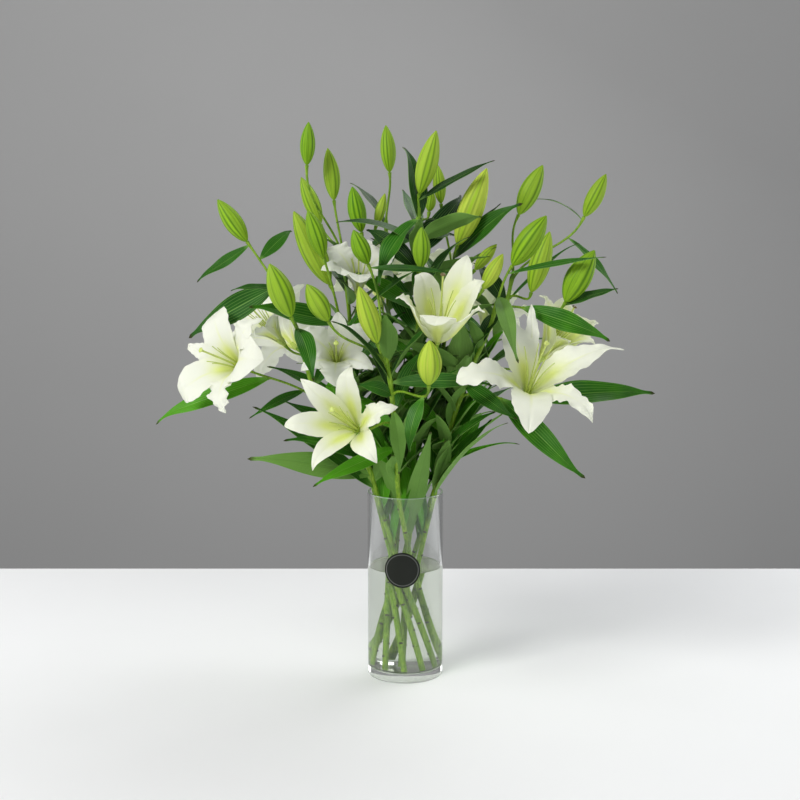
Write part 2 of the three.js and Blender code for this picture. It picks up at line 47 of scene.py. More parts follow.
# For each stem: the compass angle where it leans on the rim, its way above the rim, its closed buds,
# its open blooms and its leaves.
# bud: [height on the stem, base, tip, width, tone from deep green to pale yellow]
# bloom: [height on the stem, base, facing, petal length, spread, phase, width, tone from white to lime]
# leaf: [shoot, place on it, tip, width, arch, roll]; shoot 0 is the stem and its place a height, the
# others are the stalks of the buds and then of the blooms, and the place a share of the stalk
stems = {
    "left_front": {
        "rim": 205,
        "rise": [[-50, -24, 290], [-80, -34, 335], [-112, -43, 380], [-128, -50, 430], [-136, -52, 470]],
        "buds": [[468, [-201, -35, 581], [-238, -30, 634], 24, 0.25],
            [462, [-141, -112, 494], [-166, -120, 560], 31, 0.35]],
        "blooms": [[376, [-202, -49, 419], [-0.62, -0.67, 0.41], 107, 0.98, 95, 48, 0.2]],
        "leaves": [[1, 0.75, [-264, -60, 535], 15, -2, -50], [1, 0.55, [-146, 10, 595], 18, 5, 45],
            [1, 0.33, [-282, -10, 458], 36, 1, -72], [1, 0.3, [-219, -75, 524], 11, 5, -40],
            [2, 0.35, [-113, -150, 420], 24, 12, 0], [3, 0.45, [-329, -20, 350], 27, 3, -60],
            [3, 0.15, [-194, -110, 367], 13, 8, -45], [0, 256, [-189, -125, 388], 27, 8, -60],
            [0, 300, [-150, -120, 345], 20, 10, -60], [0, 275, [-196, -110, 318], 32, 10, -65, 1],
            [0, 285, [-92, -95, 352], 24, 6, -40, 1]],
    },
    "front_centre": {
        "rim": 258,
        "rise": [[-12, -60, 317], [-18, -85, 400], [-25, -88, 440]],
        "buds": [[430, [-95, -115, 489], [-121, -120, 535], 26, 0.4],
            [420, [-35, -112, 461], [-57, -125, 533], 26, 0.75],
            [390, [28, -145, 414], [29, -150, 470], 30, 0.8],
            [439, [-47, -65, 555], [-65, -70, 598], 23, 0.15]],
        "blooms": [[350, [-58, -131, 355], [-0.31, -0.86, 0.39], 125, 0.8, 9, 34, 0.55]],
        "leaves": [[0, 432, [-24, -128, 500], 28, 6, 0], [0, 410, [-88, -128, 494], 16, 8, -35],
            [0, 392, [-59, -118, 410], 20, 6, -60], [0, 320, [-116, -150, 291], 20, 10, -60],
            [3, 0.5, [4, -160, 334], 22, 8, 0], [0, 370, [-7, -118, 297], 20, 10, 0, 1],
            [0, 408, [109, -100, 410], 20, 8, 60], [0, 290, [22, -112, 400], 20, 6, 20],
            [4, 0.85, [58, -78, 546], 10, 3, 60], [0, 275, [-66, -60, 375], 24, 6, -30]],
    },
    "left_mid": {
        "rim": 172,
        "rise": [[-55, 5, 300], [-70, 0, 370], [-80, -5, 440], [-86, -10, 485]],
        "buds": [[474, [-104, -38, 561], [-123, -45, 621], 24, 0.2],
            [484, [-98, 0, 523], [-143, -10, 618], 32, 0.5]],
        "blooms": [[385, [-88, -34, 424], [0, -0.84, 0.54], 86, 0.85, 30, 34, 0],
            [415, [-160, 35, 440], [-0.6, -0.25, 0.75], 105, 0.95, 10, 36, 0.1]],
        "leaves": [[0, 474, [-191, -97, 508], 30, 0, -60], [0, 300, [-165, 30, 365], 24, 12, -30],
            [0, 350, [-182, 24, 414], 22, 10, -20], [0, 262, [-78, -35, 385], 22, 6, -30],
            [0, 380, [-45, -60, 420], 22, 6, 30]],
    },
    "left_back": {
        "rim": 136,
        "rise": [[-50, 55, 310], [-68, 80, 400], [-78, 88, 500], [-84, 86, 560]],
        "buds": [[548, [-129, 50, 675], [-126, 45, 731], 20, 0.15],
            [558, [-95, 80, 628], [-103, 82, 697], 22, 0.4],
            [550, [-114, 100, 595], [-140, 105, 658], 22, 0.4],
            [545, [-58, 60, 587], [-70, 60, 647], 24, 0.1]],
        "blooms": [[435, [-62, 18, 508], [0.05, -0.45, 0.88], 96, 0.75, 25, 40, -0.2],
            [400, [-150, 130, 422], [-0.5, 0.8, 0.33], 110, 0.95, 0, 36, -0.1]],
        "leaves": [[0, 300, [-110, 140, 350], 24, 12, 0], [0, 360, [-150, 150, 400], 22, 12, 0],
            [0, 500, [-140, 150, 560], 20, 12, 0], [0, 265, [-70, 95, 380], 24, 8, 0],
            [0, 280, [-38, 22, 420], 26, 5, -20], [0, 420, [-110, 60, 500], 24, 8, 0]],
    },
    "centre_back": {
        "rim": 98,
        "rise": [[-10, 62, 310], [-18, 90, 400], [-24, 105, 500], [-26, 112, 600]],
        "buds": [[596, [-21, 115, 664], [-26, 120, 727], 21, 0.3],
            [560, [-39, 85, 594], [-27, 88, 637], 14, 0.6], [520, [-22, 50, 560], [-7, 46, 593], 14, 0.8]],
        "blooms": [[430, [-32, 132, 482], [-0.15, 0.6, 0.79], 112, 0.9, 30, 36, 0.5]],
        "leaves": [[0, 290, [-25, 165, 330], 24, 12, 0], [0, 350, [20, 185, 380], 22, 12, 0],
            [0, 540, [30, 190, 590], 20, 12, 0], [0, 270, [28, 110, 385], 24, 4, 40],
            [0, 300, [4, 60, 440], 26, 4, 0], [0, 590, [-75, 140, 650], 18, 8, 0]],
    },
    "centre": {
        "rim": 30, "foot": 240, "reach": 0.2,
        "rise": [[12, 5, 320], [15, 0, 400], [17, -2, 500], [17, 3, 600], [17, 4, 622]],
        "buds": [[620, [18, 0, 640], [39, -15, 720], 27, 0.5], [600, [31, 35, 615], [35, 38, 642], 14, 0.4],
            [470, [19, -55, 549], [20, -60, 601], 23, 0.25]],
        "blooms": [[380, [40, -80, 457], [0.07, -0.56, 0.83], 144, 0.58, 15, 43, 0.6]],
        "leaves": [[0, 606, [0, 26, 702], 30, 8, 0], [1, 0.4, [114, -5, 684], 12, 3, 50],
            [0, 608, [-36, -50, 526], 34, 12, 0], [0, 590, [60, 42, 586], 32, 8, 50],
            [0, 185, [34, -90, 352], 26, 4, 0], [0, 192, [80, -8, 345], 26, 4, 0],
            [0, 190, [-50, -66, 345], 24, 4, 0], [0, 300, [62, -55, 410], 26, 6, 40],
            [0, 340, [40, -45, 440], 26, 4, 30], [0, 270, [30, 45, 380], 22, 6, 0],
            [0, 262, [-14, -34, 410], 26, 5, -15], [0, 500, [80, -20, 590], 26, 8, 30]],
    },
    "right_mid": {
        "rim": 58,
        "rise": [[34, 55, 310], [48, 72, 400], [58, 75, 490], [64, 66, 545]],
        "buds": [[543, [68, 25, 572], [105, 15, 672], 33, 0.95],
            [520, [91, 25, 540], [119, 20, 574], 16, 0.6], [500, [100, -10, 518], [125, -15, 564], 20, 0.9],
            [530, [47, 50, 625], [42, 50, 676], 17, 0.45]],
        "blooms": [[420, [106, 98, 440], [0.3, 0.5, 0.8], 108, 0.85, 0, 36, 0.2],
            [450, [46, 128, 478], [0.05, 0.6, 0.78], 106, 0.75, 30, 34, 0.4]],
        "leaves": [[1, 0.2, [146, -10, 631], 30, 6, 68], [1, 0.15, [126, 45, 625], 20, 6, 40],
            [0, 300, [95, 140, 345], 24, 12, 0], [0, 360, [120, 160, 400], 22, 12, 0],
            [0, 270, [72, 70, 390], 24, 8, 0], [0, 256, [66, 8, 400], 26, 5, 30],
            [0, 480, [20, 110, 560], 22, 8, 0]],
    },
    "right_front": {
        "rim": 335,
        "rise": [[48, -22, 300], [76, -34, 396], [106, -44, 469], [116, -45, 505]],
        "buds": [[503, [135, -50, 552], [176, -60, 615], 31, 0.25],
            [492, [202, -55, 506], [237, -60, 572], 33, 0.2]],
        "blooms": [[380, [152, -81, 389], [0.12, -0.71, 0.7], 151, 0.95, 16, 38, 0.25]],
        "leaves": [[0, 245, [127, -118, 367], 24, 10, 20], [0, 300, [112, -90, 372], 24, 8, 50],
            [0, 285, [142, -85, 334], 10, 8, 40], [0, 398, [137, -118, 365], 22, 8, 50],
            [0, 380, [71, -60, 487], 38, 6, 0], [1, 0.1, [134, -150, 442], 22, 18, 10, 1],
            [2, 0.25, [258, -80, 462], 27, 6, 62], [1, 0.55, [248, -90, 566], 13, 3, 35],
            [2, 0.85, [268, -62, 524], 14, 4, 50], [3, 0.35, [221, -125, 291], 30, 10, 55],
            [3, 0.65, [318, -45, 389], 33, 10, 55], [0, 262, [112, -55, 355], 24, 6, 40],
            [0, 252, [70, -58, 338], 24, 5, 20]],
    },
    "right_back": {
        "rim": 18,
        "rise": [[60, 20, 310], [98, 32, 400], [130, 42, 480], [142, 48, 530]],
        "buds": [[528, [150, 60, 610], [181, 60, 675], 27, 0.35],
            [524, [235, 45, 608], [262, 40, 664], 22, 0.4], [500, [164, 10, 512], [187, 10, 591], 28, 0.5]],
        "blooms": [[400, [177, 20, 420], [0.48, -0.35, 0.8], 122, 0.55, 30, 44, 1, [0, 1, 5]]],
        "leaves": [[0, 495, [227, 44, 577], 8, 5, 30], [2, 0.5, [283, 60, 506], 15, 6, 45],
            [2, 0.75, [168, 80, 629], 6, 10, 0], [0, 320, [150, 110, 370], 24, 12, 0],
            [0, 400, [210, 120, 440], 22, 12, 0], [0, 275, [118, 25, 390], 24, 8, 20]],
    },
}


def clearSelection():
    if bpy.context.object and bpy.context.object.mode != "OBJECT":
        bpy.ops.object.mode_set(mode="OBJECT")
    bpy.ops.object.select_all(action="DESELECT")


def addObject(name, data):
    piece = bpy.data.objects.new(name, data)
    bpy.context.scene.collection.objects.link(piece)
    return piece


def pick(piece):
    clearSelection()
    piece.select_set(True)
    bpy.context.view_layer.objects.active = piece


def choose(piece, wanted, kind="VERT"):  # in edit mode, selects only what wanted() says yes to
    bpy.ops.mesh.select_mode(type=kind)
    bpy.ops.mesh.select_all(action="DESELECT")
    form = bmesh.from_edit_mesh(piece.data)
    for part in {"VERT": form.verts, "EDGE": form.edges, "FACE": form.faces}[kind]:
        if wanted(part):
            part.select_set(True)
    form.select_flush_mode()
    bmesh.update_edit_mesh(piece.data)


def stretch(value, middle=(0, 0, 0)):
    bpy.ops.transform.resize(value=value, center_override=middle)


def joinAll(pieces, name):
    clearSelection()
    for piece in pieces:
        piece.select_set(True)
    bpy.context.view_layer.objects.active = pieces[0]
    bpy.ops.object.join()
    whole = bpy.context.object
    whole.name = name
    whole.data.name = name
    return whole


def applyAll(piece):
    pick(piece)
    for modifier in list(piece.modifiers):
        bpy.ops.object.modifier_apply(modifier=modifier.name)


def smooth(piece, degrees):
    pick(piece)
    bpy.ops.object.shade_smooth_by_angle(angle=math.radians(degrees))


def weighNormals(piece):  # big faces stay flat beside small rounded edges
    pick(piece)
    bpy.ops.object.modifier_add(type="WEIGHTED_NORMAL")
    piece.modifiers[-1].keep_sharp = True
    applyAll(piece)


def draw(limits):
    return dice.uniform(*limits)


def vec(place):
    return np.array(place, float) * mm


def unit(way):
    return way / np.linalg.norm(way)


def cubicAt(points, share):  # where a curve of four points is at each share of it, and its way there
    a, b, c, d = (np.array(point, float) for point in points)
    t = np.asarray(share, float).reshape(-1, 1)
    place = a * (1 - t) ** 3 + 3 * b * t * (1 - t) ** 2 + 3 * c * t ** 2 * (1 - t) + d * t ** 3
    along = (b - a) * (1 - t) ** 2 + 2 * (c - b) * t * (1 - t) + (d - c) * t ** 2
    return place, along / np.linalg.norm(along, axis=1, keepdims=True)


def outline(share, peak, below, above):  # how wide a blade or bud is, 1 at its peak
    share = np.clip(np.asarray(share, float), 0, 1)
    low = np.sin(np.pi / 2 * np.minimum(share / peak, 1)) ** below
    high = np.cos(np.pi / 2 * np.maximum(share - peak, 0) / (1 - peak)) ** above
    return low * high


def turned(way, axis, degrees):
    angle = math.radians(degrees)
    return way * math.cos(angle) + np.cross(axis, way) * math.sin(angle)


# Finishes

def colour(red, green, blue):  # from the 0 to 255 of a screen
    light = [(c / 255 + 0.055) / 1.055 if c > 10 else c / 255 / 12.92 for c in (red, green, blue)]
    return (*[c ** 2.4 if c > 0.05 else c for c in light], 1)


def addNode(tree, kind, inputs, **settings):
    node = tree.nodes.new("ShaderNode" + kind)
    for name, value in settings.items():
        setattr(node, name, value)
    for name, value in inputs.items():
        if isinstance(value, bpy.types.NodeSocket):
            tree.links.new(value, node.inputs[name])
        else:
            node.inputs[name].default_value = value
    return node


def nextNode(kind, inputs, **settings):  # in the material that its inputs come from
    tree = next(value.id_data for value in inputs.values() if isinstance(value, bpy.types.NodeSocket))
    return addNode(tree, kind, inputs, **settings)


def calc(operation, *values, clamp=False):
    return nextNode("Math", dict(enumerate(values)), operation=operation, use_clamp=clamp).outputs[0]


def plus(first, second, clamp=False):
    return calc("ADD", first, second, clamp=clamp)


def minus(first, second):
    return calc("SUBTRACT", first, second)


def times(first, *others, clamp=False):
    for other in others:
        first = calc("MULTIPLY", first, other, clamp=clamp)
    return first


def larger(first, second, clamp=False):
    return calc("MAXIMUM", first, second, clamp=clamp)


def apart(first, second):
    return calc("ABSOLUTE", minus(first, second))


def fade(value, start, end):  # 0 at start, 1 at end, soft between
    limits = {"Value": value, "From Min": start, "From Max": end}
    return nextNode("MapRange", limits, interpolation_type="SMOOTHSTEP").outputs[0]


def mixed(share, first, second):
    return nextNode("Mix", {0: share, 6: first, 7: second}, data_type="RGBA").outputs[2]


def noise(place, scale):
    return nextNode("TexNoise", {"Vector": place, "Scale": scale, "Detail": 3}).outputs["Fac"]


def streaks(place, scales):  # noise drawn out along one way
    return noise(nextNode("Mapping", {"Vector": place, "Scale": scales}).outputs[0], 1.0)


def bump(height, distance, strength):
    inputs = {"Height": height, "Distance": distance, "Strength": strength}
    return nextNode("Bump", inputs).outputs["Normal"]


def attribute(look, name):
    return addNode(look.node_tree, "Attribute", {}, attribute_name=name).outputs["Fac"]


def placeOf(look):
    return addNode(look.node_tree, "TexCoord", {}).outputs["Object"]


def uvOf(look):
    uv = addNode(look.node_tree, "UVMap", {}).outputs["UV"]
    parts = nextNode("SeparateXYZ", {"Vector": uv}).outputs
    return uv, parts["X"], parts["Y"]


def newLook(name, **settings):
    look = bpy.data.materials.new(name)
    look.use_nodes = True
    shader = look.node_tree.nodes["Principled BSDF"]
    for key, value in settings.items():
        shader.inputs[key.replace("_", " ")].default_value = value
    return look, shader


def feed(shader, **sockets):
    for key, socket in sockets.items():
        shader.id_data.links.new(socket, shader.inputs[key.replace("_", " ")])


def blendShaders(shader, share, other):
    both = nextNode("MixShader", {0: share, 1: shader.outputs[0], 2: other.outputs[0]})
    tree = shader.id_data
    tree.links.new(both.outputs[0], tree.nodes["Material Output"].inputs["Surface"])


def letLightThrough(shader, share, tint):  # a thin living blade glows when lit from behind
    blendShaders(shader, share, addNode(shader.id_data, "BsdfTranslucent", {"Color": tint}))


def letLampsThrough(shader, tint):  # light from the lamps reaches what is behind the glass
    path = addNode(shader.id_data, "LightPath", {}).outputs
    lamp = larger(path["Is Shadow Ray"], path["Is Diffuse Ray"])
    blendShaders(shader, lamp, addNode(shader.id_data, "BsdfTransparent", {"Color": tint}))


def cloudyLook(name, first, second, scale, **settings):
    look, shader = newLook(name, **settings)
    cloud = noise(placeOf(look), scale)
    feed(shader, Base_Color=mixed(cloud, first, second))
    return look, shader, cloud


def plainLook(name, first, second, roughness, scale):
    look, shader, cloud = cloudyLook(name, first, second, scale, Roughness=roughness)
    feed(shader, Normal=bump(cloud, 0.0002, 0.4))
    return look


leafPaint = {
    "dark": colour(16, 54, 18),
    "mid": colour(38, 98, 16),
    "bright": colour(74, 148, 12),
    "under": colour(128, 168, 84),
    "vein": colour(146, 194, 92),
    "tip": colour(58, 50, 28),
    "veinGap": 0.11,  # of the blade's width, from one long vein to the next
    "glowShare": 0.13,
}


def leafLook():
    look, shader = newLook("leaf_green", Specular_IOR_Level=0.18)
    uv, across, along = uvOf(look)
    under, place = attribute(look, "under"), placeOf(look)
    cloud = noise(place, 38)
    tone = plus(attribute(look, "tone"), times(minus(cloud, 0.5), 0.5))
    body = mixed(fade(tone, 0.0, 0.5), leafPaint["dark"], leafPaint["mid"])
    body = mixed(fade(tone, 0.5, 1.0), body, leafPaint["bright"])
    # long veins side by side, closer together where the blade narrows, and a pale rim
    side = apart(across, 0.5)
    vein = fade(calc("PINGPONG", side, leafPaint["veinGap"] / 2), 0.016, 0.003)
    rib = fade(side, 0.026, 0.006)
    lines = times(larger(times(vein, 0.62), rib), fade(along, 1.0, 0.75))
    rim = fade(side, 0.475, 0.5)
    body = mixed(times(larger(lines, rim), 0.5), body, leafPaint["vein"])
    # the pale underside, with finer and darker veins
    body = mixed(times(under, plus(times(cloud, 0.3), 0.62)), body, leafPaint["under"])
    fine = fade(calc("PINGPONG", side, leafPaint["veinGap"] / 4), 0.004, 0.02)
    body = mixed(times(larger(rib, fine), under, 0.3), body, leafPaint["mid"])
    body = mixed(times(fade(along, 0.12, 0.0), 0.6), body, leafPaint["vein"])
    body = mixed(times(fade(along, 0.93, 0.985), 0.85), body, leafPaint["tip"])
    relief = plus(lines, times(noise(place, 420), 0.25))
    feed(shader, Base_Color=body, Roughness=plus(times(under, 0.2), 0.44), Normal=bump(relief, 0.0002, 0.5))
    letLightThrough(shader, leafPaint["glowShare"], body)
    return look


budPaint = {
    "green": colour(73, 131, 2),
    "pale": colour(194, 208, 82),
    # the grooves' deeper green, darkened further as painted shade in the creases
    "groove": colour(40, 94, 2),
    "shoulder": colour(150, 196, 34),
    "tip": colour(60, 76, 26),
    "toGroove": 0.125,  # from the middle of a rib, as a share of a third of the way round
}


def budLook():
    look, shader = newLook("bud_green", Specular_IOR_Level=0.13, Roughness=0.5)
    uv, around, along = uvOf(look)
    tone = attribute(look, "tone")
    body = mixed(tone, budPaint["green"], budPaint["pale"])
    # each third of the way round has a narrow rib between two grooves, and a seam halfway to the next
    fromRib = apart(calc("FRACT", times(around, 3.0)), 0.5)
    pastGroove = minus(fromRib, budPaint["toGroove"])
    groove = fade(calc("ABSOLUTE", pastGroove), 0.068, 0.0)
    seam = fade(minus(0.5, fromRib), 0.05, 0.0)
    ends = times(fade(along, 0.02, 0.2), fade(along, 1.0, 0.9))
    lines = times(larger(groove, times(seam, 0.7)), ends)
    ridge = times(fade(fromRib, 0.09, 0.02), ends, 0.55)
    streak = streaks(uv, (60, 3, 1))
    body = mixed(times(fade(streak, 0.35, 0.65), 0.4), body, budPaint["shoulder"])
    # painted shade: each rib's band is darkened towards and beside its grooves
    body = mixed(times(fade(pastGroove, 0.1, 0.0), 0.2, ends), body, budPaint["groove"])
    body = mixed(times(fade(along, 0.5, 0.0), 0.35), body, budPaint["shoulder"])
    body = mixed(ridge, body, budPaint["shoulder"])
    # the grooves and seams darker still: partly the bud's own deeper green, partly painted shade in the
    # creases
    body = mixed(times(lines, minus(0.72, times(tone, 0.42))), body, budPaint["groove"])
    body = mixed(times(fade(along, 0.955, 0.99), 0.8), body, budPaint["tip"])
    relief = minus(plus(times(streak, 0.4), ridge), lines)
    relief = plus(relief, times(noise(placeOf(look), 900), 0.2))
    feed(shader, Base_Color=body, Normal=bump(relief, 0.0005, 0.7))
    return look


petalPaint = {
    "white": colour(250, 250, 247),
    "lime": colour(240, 248, 142),
    "throat": colour(222, 238, 96),
    "glow": colour(242, 246, 226),
    "glowShare": 0.42,
    "scatter": (0.004, 0.004, 0.003),
}


def petalLook():
    look, shader = newLook("petal_white", Roughness=0.5, Specular_IOR_Level=0.3, Subsurface_Weight=0.08,
                           Subsurface_Radius=petalPaint["scatter"])
    uv, across, along = uvOf(look)
    tone, under = attribute(look, "tone"), attribute(look, "under")
    # lime from the throat up the middle, farther on the greener blooms
    side = apart(across, 0.5)
    reach = plus(times(tone, 0.5), 0.44)
    deep = calc("DIVIDE", minus(reach, along), reach)
    wash = times(fade(deep, 0.0, 0.7), plus(fade(side, 0.34, 0.0), 0.35))
    rib = times(fade(side, 0.06, 0.01), fade(along, 0.85, 0.3))
    wash = larger(wash, times(rib, 0.55), clamp=True)
    wash = plus(wash, times(tone, 0.16), clamp=True)
    body = mixed(wash, petalPaint["white"], petalPaint["lime"])
    claw = plus(fade(along, 0.13, 0.04), times(rib, fade(along, 0.3, 0.1)))
    body = mixed(times(claw, 0.7, clamp=True), body, petalPaint["throat"])
    # small raised dots on the inside, near the throat
    dots = nextNode("TexVoronoi", {"Vector": uv, "Scale": 42.0}).outputs["Distance"]
    dots = times(fade(dots, 0.32, 0.08), fade(along, 0.42, 0.2), minus(1.0, under))
    relief = plus(times(streaks(uv, (46, 2.2, 1)), 0.8), times(dots, 0.5))
    feed(shader, Base_Color=body, Normal=bump(relief, 0.0003, 0.45))
    letLightThrough(shader, petalPaint["glowShare"], petalPaint["glow"])
    return look


stemPaint = {
    "green": colour(96, 138, 24),
    "light": colour(142, 174, 54),
    "dark": colour(58, 92, 10),
}


def stemLook():
    look, shader = newLook("stem_green", Roughness=0.46, Specular_IOR_Level=0.25)
    place = placeOf(look)
    streak = streaks(place, (700, 700, 14))
    body = mixed(fade(streak, 0.35, 0.7), stemPaint["green"], stemPaint["light"])
    body = mixed(fade(noise(place, 26), 0.5, 0.75), body, stemPaint["dark"])
    feed(shader, Base_Color=body, Normal=bump(streak, 0.0002, 0.4))
    return look


def labelLook():
    look, shader = newLook("label_charcoal", Roughness=0.55, Specular_IOR_Level=0.25)
    place = placeOf(look)
    middle = (label["turn"], -vase["radius"] - label["standoff"], label["height"])
    flat = nextNode("VectorMath", {0: place, 1: middle}, operation="SUBTRACT").outputs[0]
    flat = nextNode("VectorMath", {0: flat, 1: (1, 0, 1)}, operation="MULTIPLY").outputs[0]
    radius = nextNode("VectorMath", {0: flat}, operation="LENGTH").outputs["Value"]
    ring = fade(apart(radius, label["ring"]), label["ringWidth"], label["ringWidth"] * 0.6)
    grain = noise(place, 900)
    body = mixed(grain, label["dark"], label["light"])
    body = mixed(times(ring, 0.3), body, label["pale"])
    feed(shader, Base_Color=body, Normal=bump(grain, 0.00005, 0.5))
    return look


# Vase, water and label

vase = {"radius": 50 * mm, "height": 250 * mm, "wall": 3 * mm, "floor": 12 * mm, "heel": 2.5 * mm,
        "lip": 0.9 * mm, "innerHeel": 4 * mm, "pushUp": 0.9 * mm, "footRing": 8 * mm, "sides": 128,
        "glass": [(0.972, 0.99, 0.982, 1), (0.985, 0.995, 0.99, 1)], "clear": (0.93, 0.95, 0.94, 1),
        "rim": [(0.62, 0.8, 0.62, 1), (0.74, 0.88, 0.72, 1)]}
water = {"level": 149 * mm, "intoGlass": 0.5 * mm, "creep": [[0.7 * mm, 0.7 * mm], [1.4 * mm, 0.4 * mm]],
         "body": [(0.66, 0.69, 0.62, 1), (0.71, 0.73, 0.67, 1)], "clear": (0.95, 0.955, 0.92, 1),
         # painted reflection: the top's olive colour stands in for what the water's surface reflects
         "top": [(0.42, 0.48, 0.3, 1), (0.52, 0.57, 0.4, 1)],
         # painted shade: a dark ring where the water creeps up the glass
         "line": [(0.1, 0.13, 0.06, 1), (0.16, 0.2, 0.1, 1)]}
label = {"radius": 23.5 * mm, "thickness": 0.6 * mm, "standoff": 0.55 * mm, "height": 155 * mm,
         "turn": -4 * mm, "ring": 20.8 * mm, "ringWidth": 0.35 * mm, "sides": 96, "steps": 5,
         "dark": colour(15, 19, 14), "light": colour(27, 31, 24), "pale": colour(206, 210, 204)}
tiny = 0.01 * mm


def startPiece(name, add, **how):  # a primitive, opened for editing with all of it selected
    clearSelection()
    add(**how)
    bpy.ops.object.transform_apply(location=True, rotation=True, scale=True)
    piece = bpy.context.object
    piece.name = name
    bpy.ops.object.mode_set(mode="EDIT")
    bpy.ops.mesh.select_all(action="SELECT")
    return piece


def cylinder(name, radius, low, high, sides):
    return startPiece(name, bpy.ops.mesh.primitive_cylinder_add, vertices=sides, radius=radius,
                      depth=high - low, location=(0, 0, (low + high) / 2))


def roundEdge(piece, radius, height, size, segments):
    def onLoop(edge):
        ends = [vert.co for vert in edge.verts]
        return all(abs(end.z - height) < tiny and abs(end.xy.length - radius) < tiny for end in ends)
    choose(piece, onLoop, "EDGE")
    bpy.ops.mesh.bevel(offset=size, segments=segments, affect="EDGES")


def makeVase():
    glass = cylinder("vase_glass", vase["radius"], 0, vase["height"], vase["sides"])
    choose(glass, lambda face: face.normal.z > 0.9, "FACE")
    bpy.ops.mesh.inset(thickness=vase["wall"])
    down = (0, 0, vase["floor"] - vase["height"])
    bpy.ops.mesh.extrude_region_move(TRANSFORM_OT_translate={"value": down})
    choose(glass, lambda face: face.normal.z < -0.9, "FACE")
    bpy.ops.mesh.inset(thickness=vase["footRing"])
    bpy.ops.transform.translate(value=(0, 0, vase["pushUp"]))
    bore = vase["radius"] - vase["wall"]
    roundEdge(glass, vase["radius"], 0, vase["heel"], 5)
    roundEdge(glass, bore, vase["floor"], vase["innerHeel"], 5)
    roundEdge(glass, vase["radius"], vase["height"], vase["lip"], 4)
    roundEdge(glass, bore, vase["height"], vase["lip"], 4)
    smooth(glass, 40)
    weighNormals(glass)
    look, shader, cloud = cloudyLook("vase_glass", *vase["glass"], 24, Transmission_Weight=1.0, IOR=1.5,
                                     Specular_IOR_Level=0.18)
    feed(shader, Roughness=times(cloud, 0.004))
    letLampsThrough(shader, vase["clear"])
    glass.data.materials.append(look)
    rim = cloudyLook("vase_rim", *vase["rim"], 90, Transmission_Weight=0.5, IOR=1.5, Roughness=0.12)
    glass.data.materials.append(rim[0])
    for face in glass.data.polygons:
        face.material_index = int(face.center.z > vase["height"] - vase["lip"] * 0.8)
    return glass


def makeWater():
    radius = vase["radius"] - vase["wall"] + water["intoGlass"]
    low = vase["floor"] - water["intoGlass"]
    top = water["level"] + sum(step[1] for step in water["creep"])
    body = cylinder("water_body", radius, low, top, vase["sides"])
    choose(body, lambda face: face.normal.z > 0.9, "FACE")
    for inward, downward in water["creep"]:  # the water creeps up the glass
        bpy.ops.mesh.inset(thickness=inward)
        bpy.ops.transform.translate(value=(0, 0, -downward))
    roundEdge(body, radius, low, vase["innerHeel"], 5)
    smooth(body, 60)
    weighNormals(body)
    look, shader, _ = cloudyLook("water_clear", *water["body"], 12, Transmission_Weight=1.0, IOR=1.333,
                                 Roughness=0.0, Specular_IOR_Level=0.18)
    letLampsThrough(shader, water["clear"])
    body.data.materials.append(look)
    # painted reflection: an olive, half-clear top face stands in for what the water's surface reflects
    top = cloudyLook("water_top_painted_reflection", *water["top"], 60, Transmission_Weight=0.55, IOR=1.333, Roughness=0.03)
    body.data.materials.append(top[0])
    # painted shade: an opaque dark ring on the sloping meniscus faces stands in for the dark line the
    # meniscus shows
    body.data.materials.append(plainLook("water_line_painted_shade", *water["line"], 0.2, 60))
    for face in body.data.polygons:
        face.material_index = 2 if 0.3 < face.normal.z < 0.9 else int(face.normal.z > 0.9)
    return body


def makeLabel():
    disc = startPiece("label_disc", bpy.ops.mesh.primitive_circle_add, vertices=label["sides"],
                      radius=label["radius"], fill_type="NGON", rotation=(math.pi / 2, 0, 0),
                      location=(label["turn"], 0, label["height"]))
    bpy.ops.mesh.extrude_region_move(TRANSFORM_OT_translate={"value": (0, -label["thickness"], 0)})
    for way in (-1, 1):  # rings on the front and the back, so that both bend
        choose(disc, lambda face: face.normal.y * way > 0.9, "FACE")
        for step in range(label["steps"]):
            bpy.ops.mesh.inset(thickness=label["radius"] / (label["steps"] + 1))
    bpy.ops.mesh.select_all(action="SELECT")
    bpy.ops.mesh.normals_make_consistent(inside=False)
    bpy.ops.object.mode_set(mode="OBJECT")
    for vert in disc.data.vertices:  # bent round the vase
        reach = vase["radius"] + label["standoff"] - vert.co.y
        turn = vert.co.x / vase["radius"]
        vert.co.x = reach * math.sin(turn)
        vert.co.y = -reach * math.cos(turn)
    smooth(disc, 40)
    disc.data.materials.append(labelLook())
    return disc


# Blades: one flat master each for leaves and petals, laid along a curve for every copy

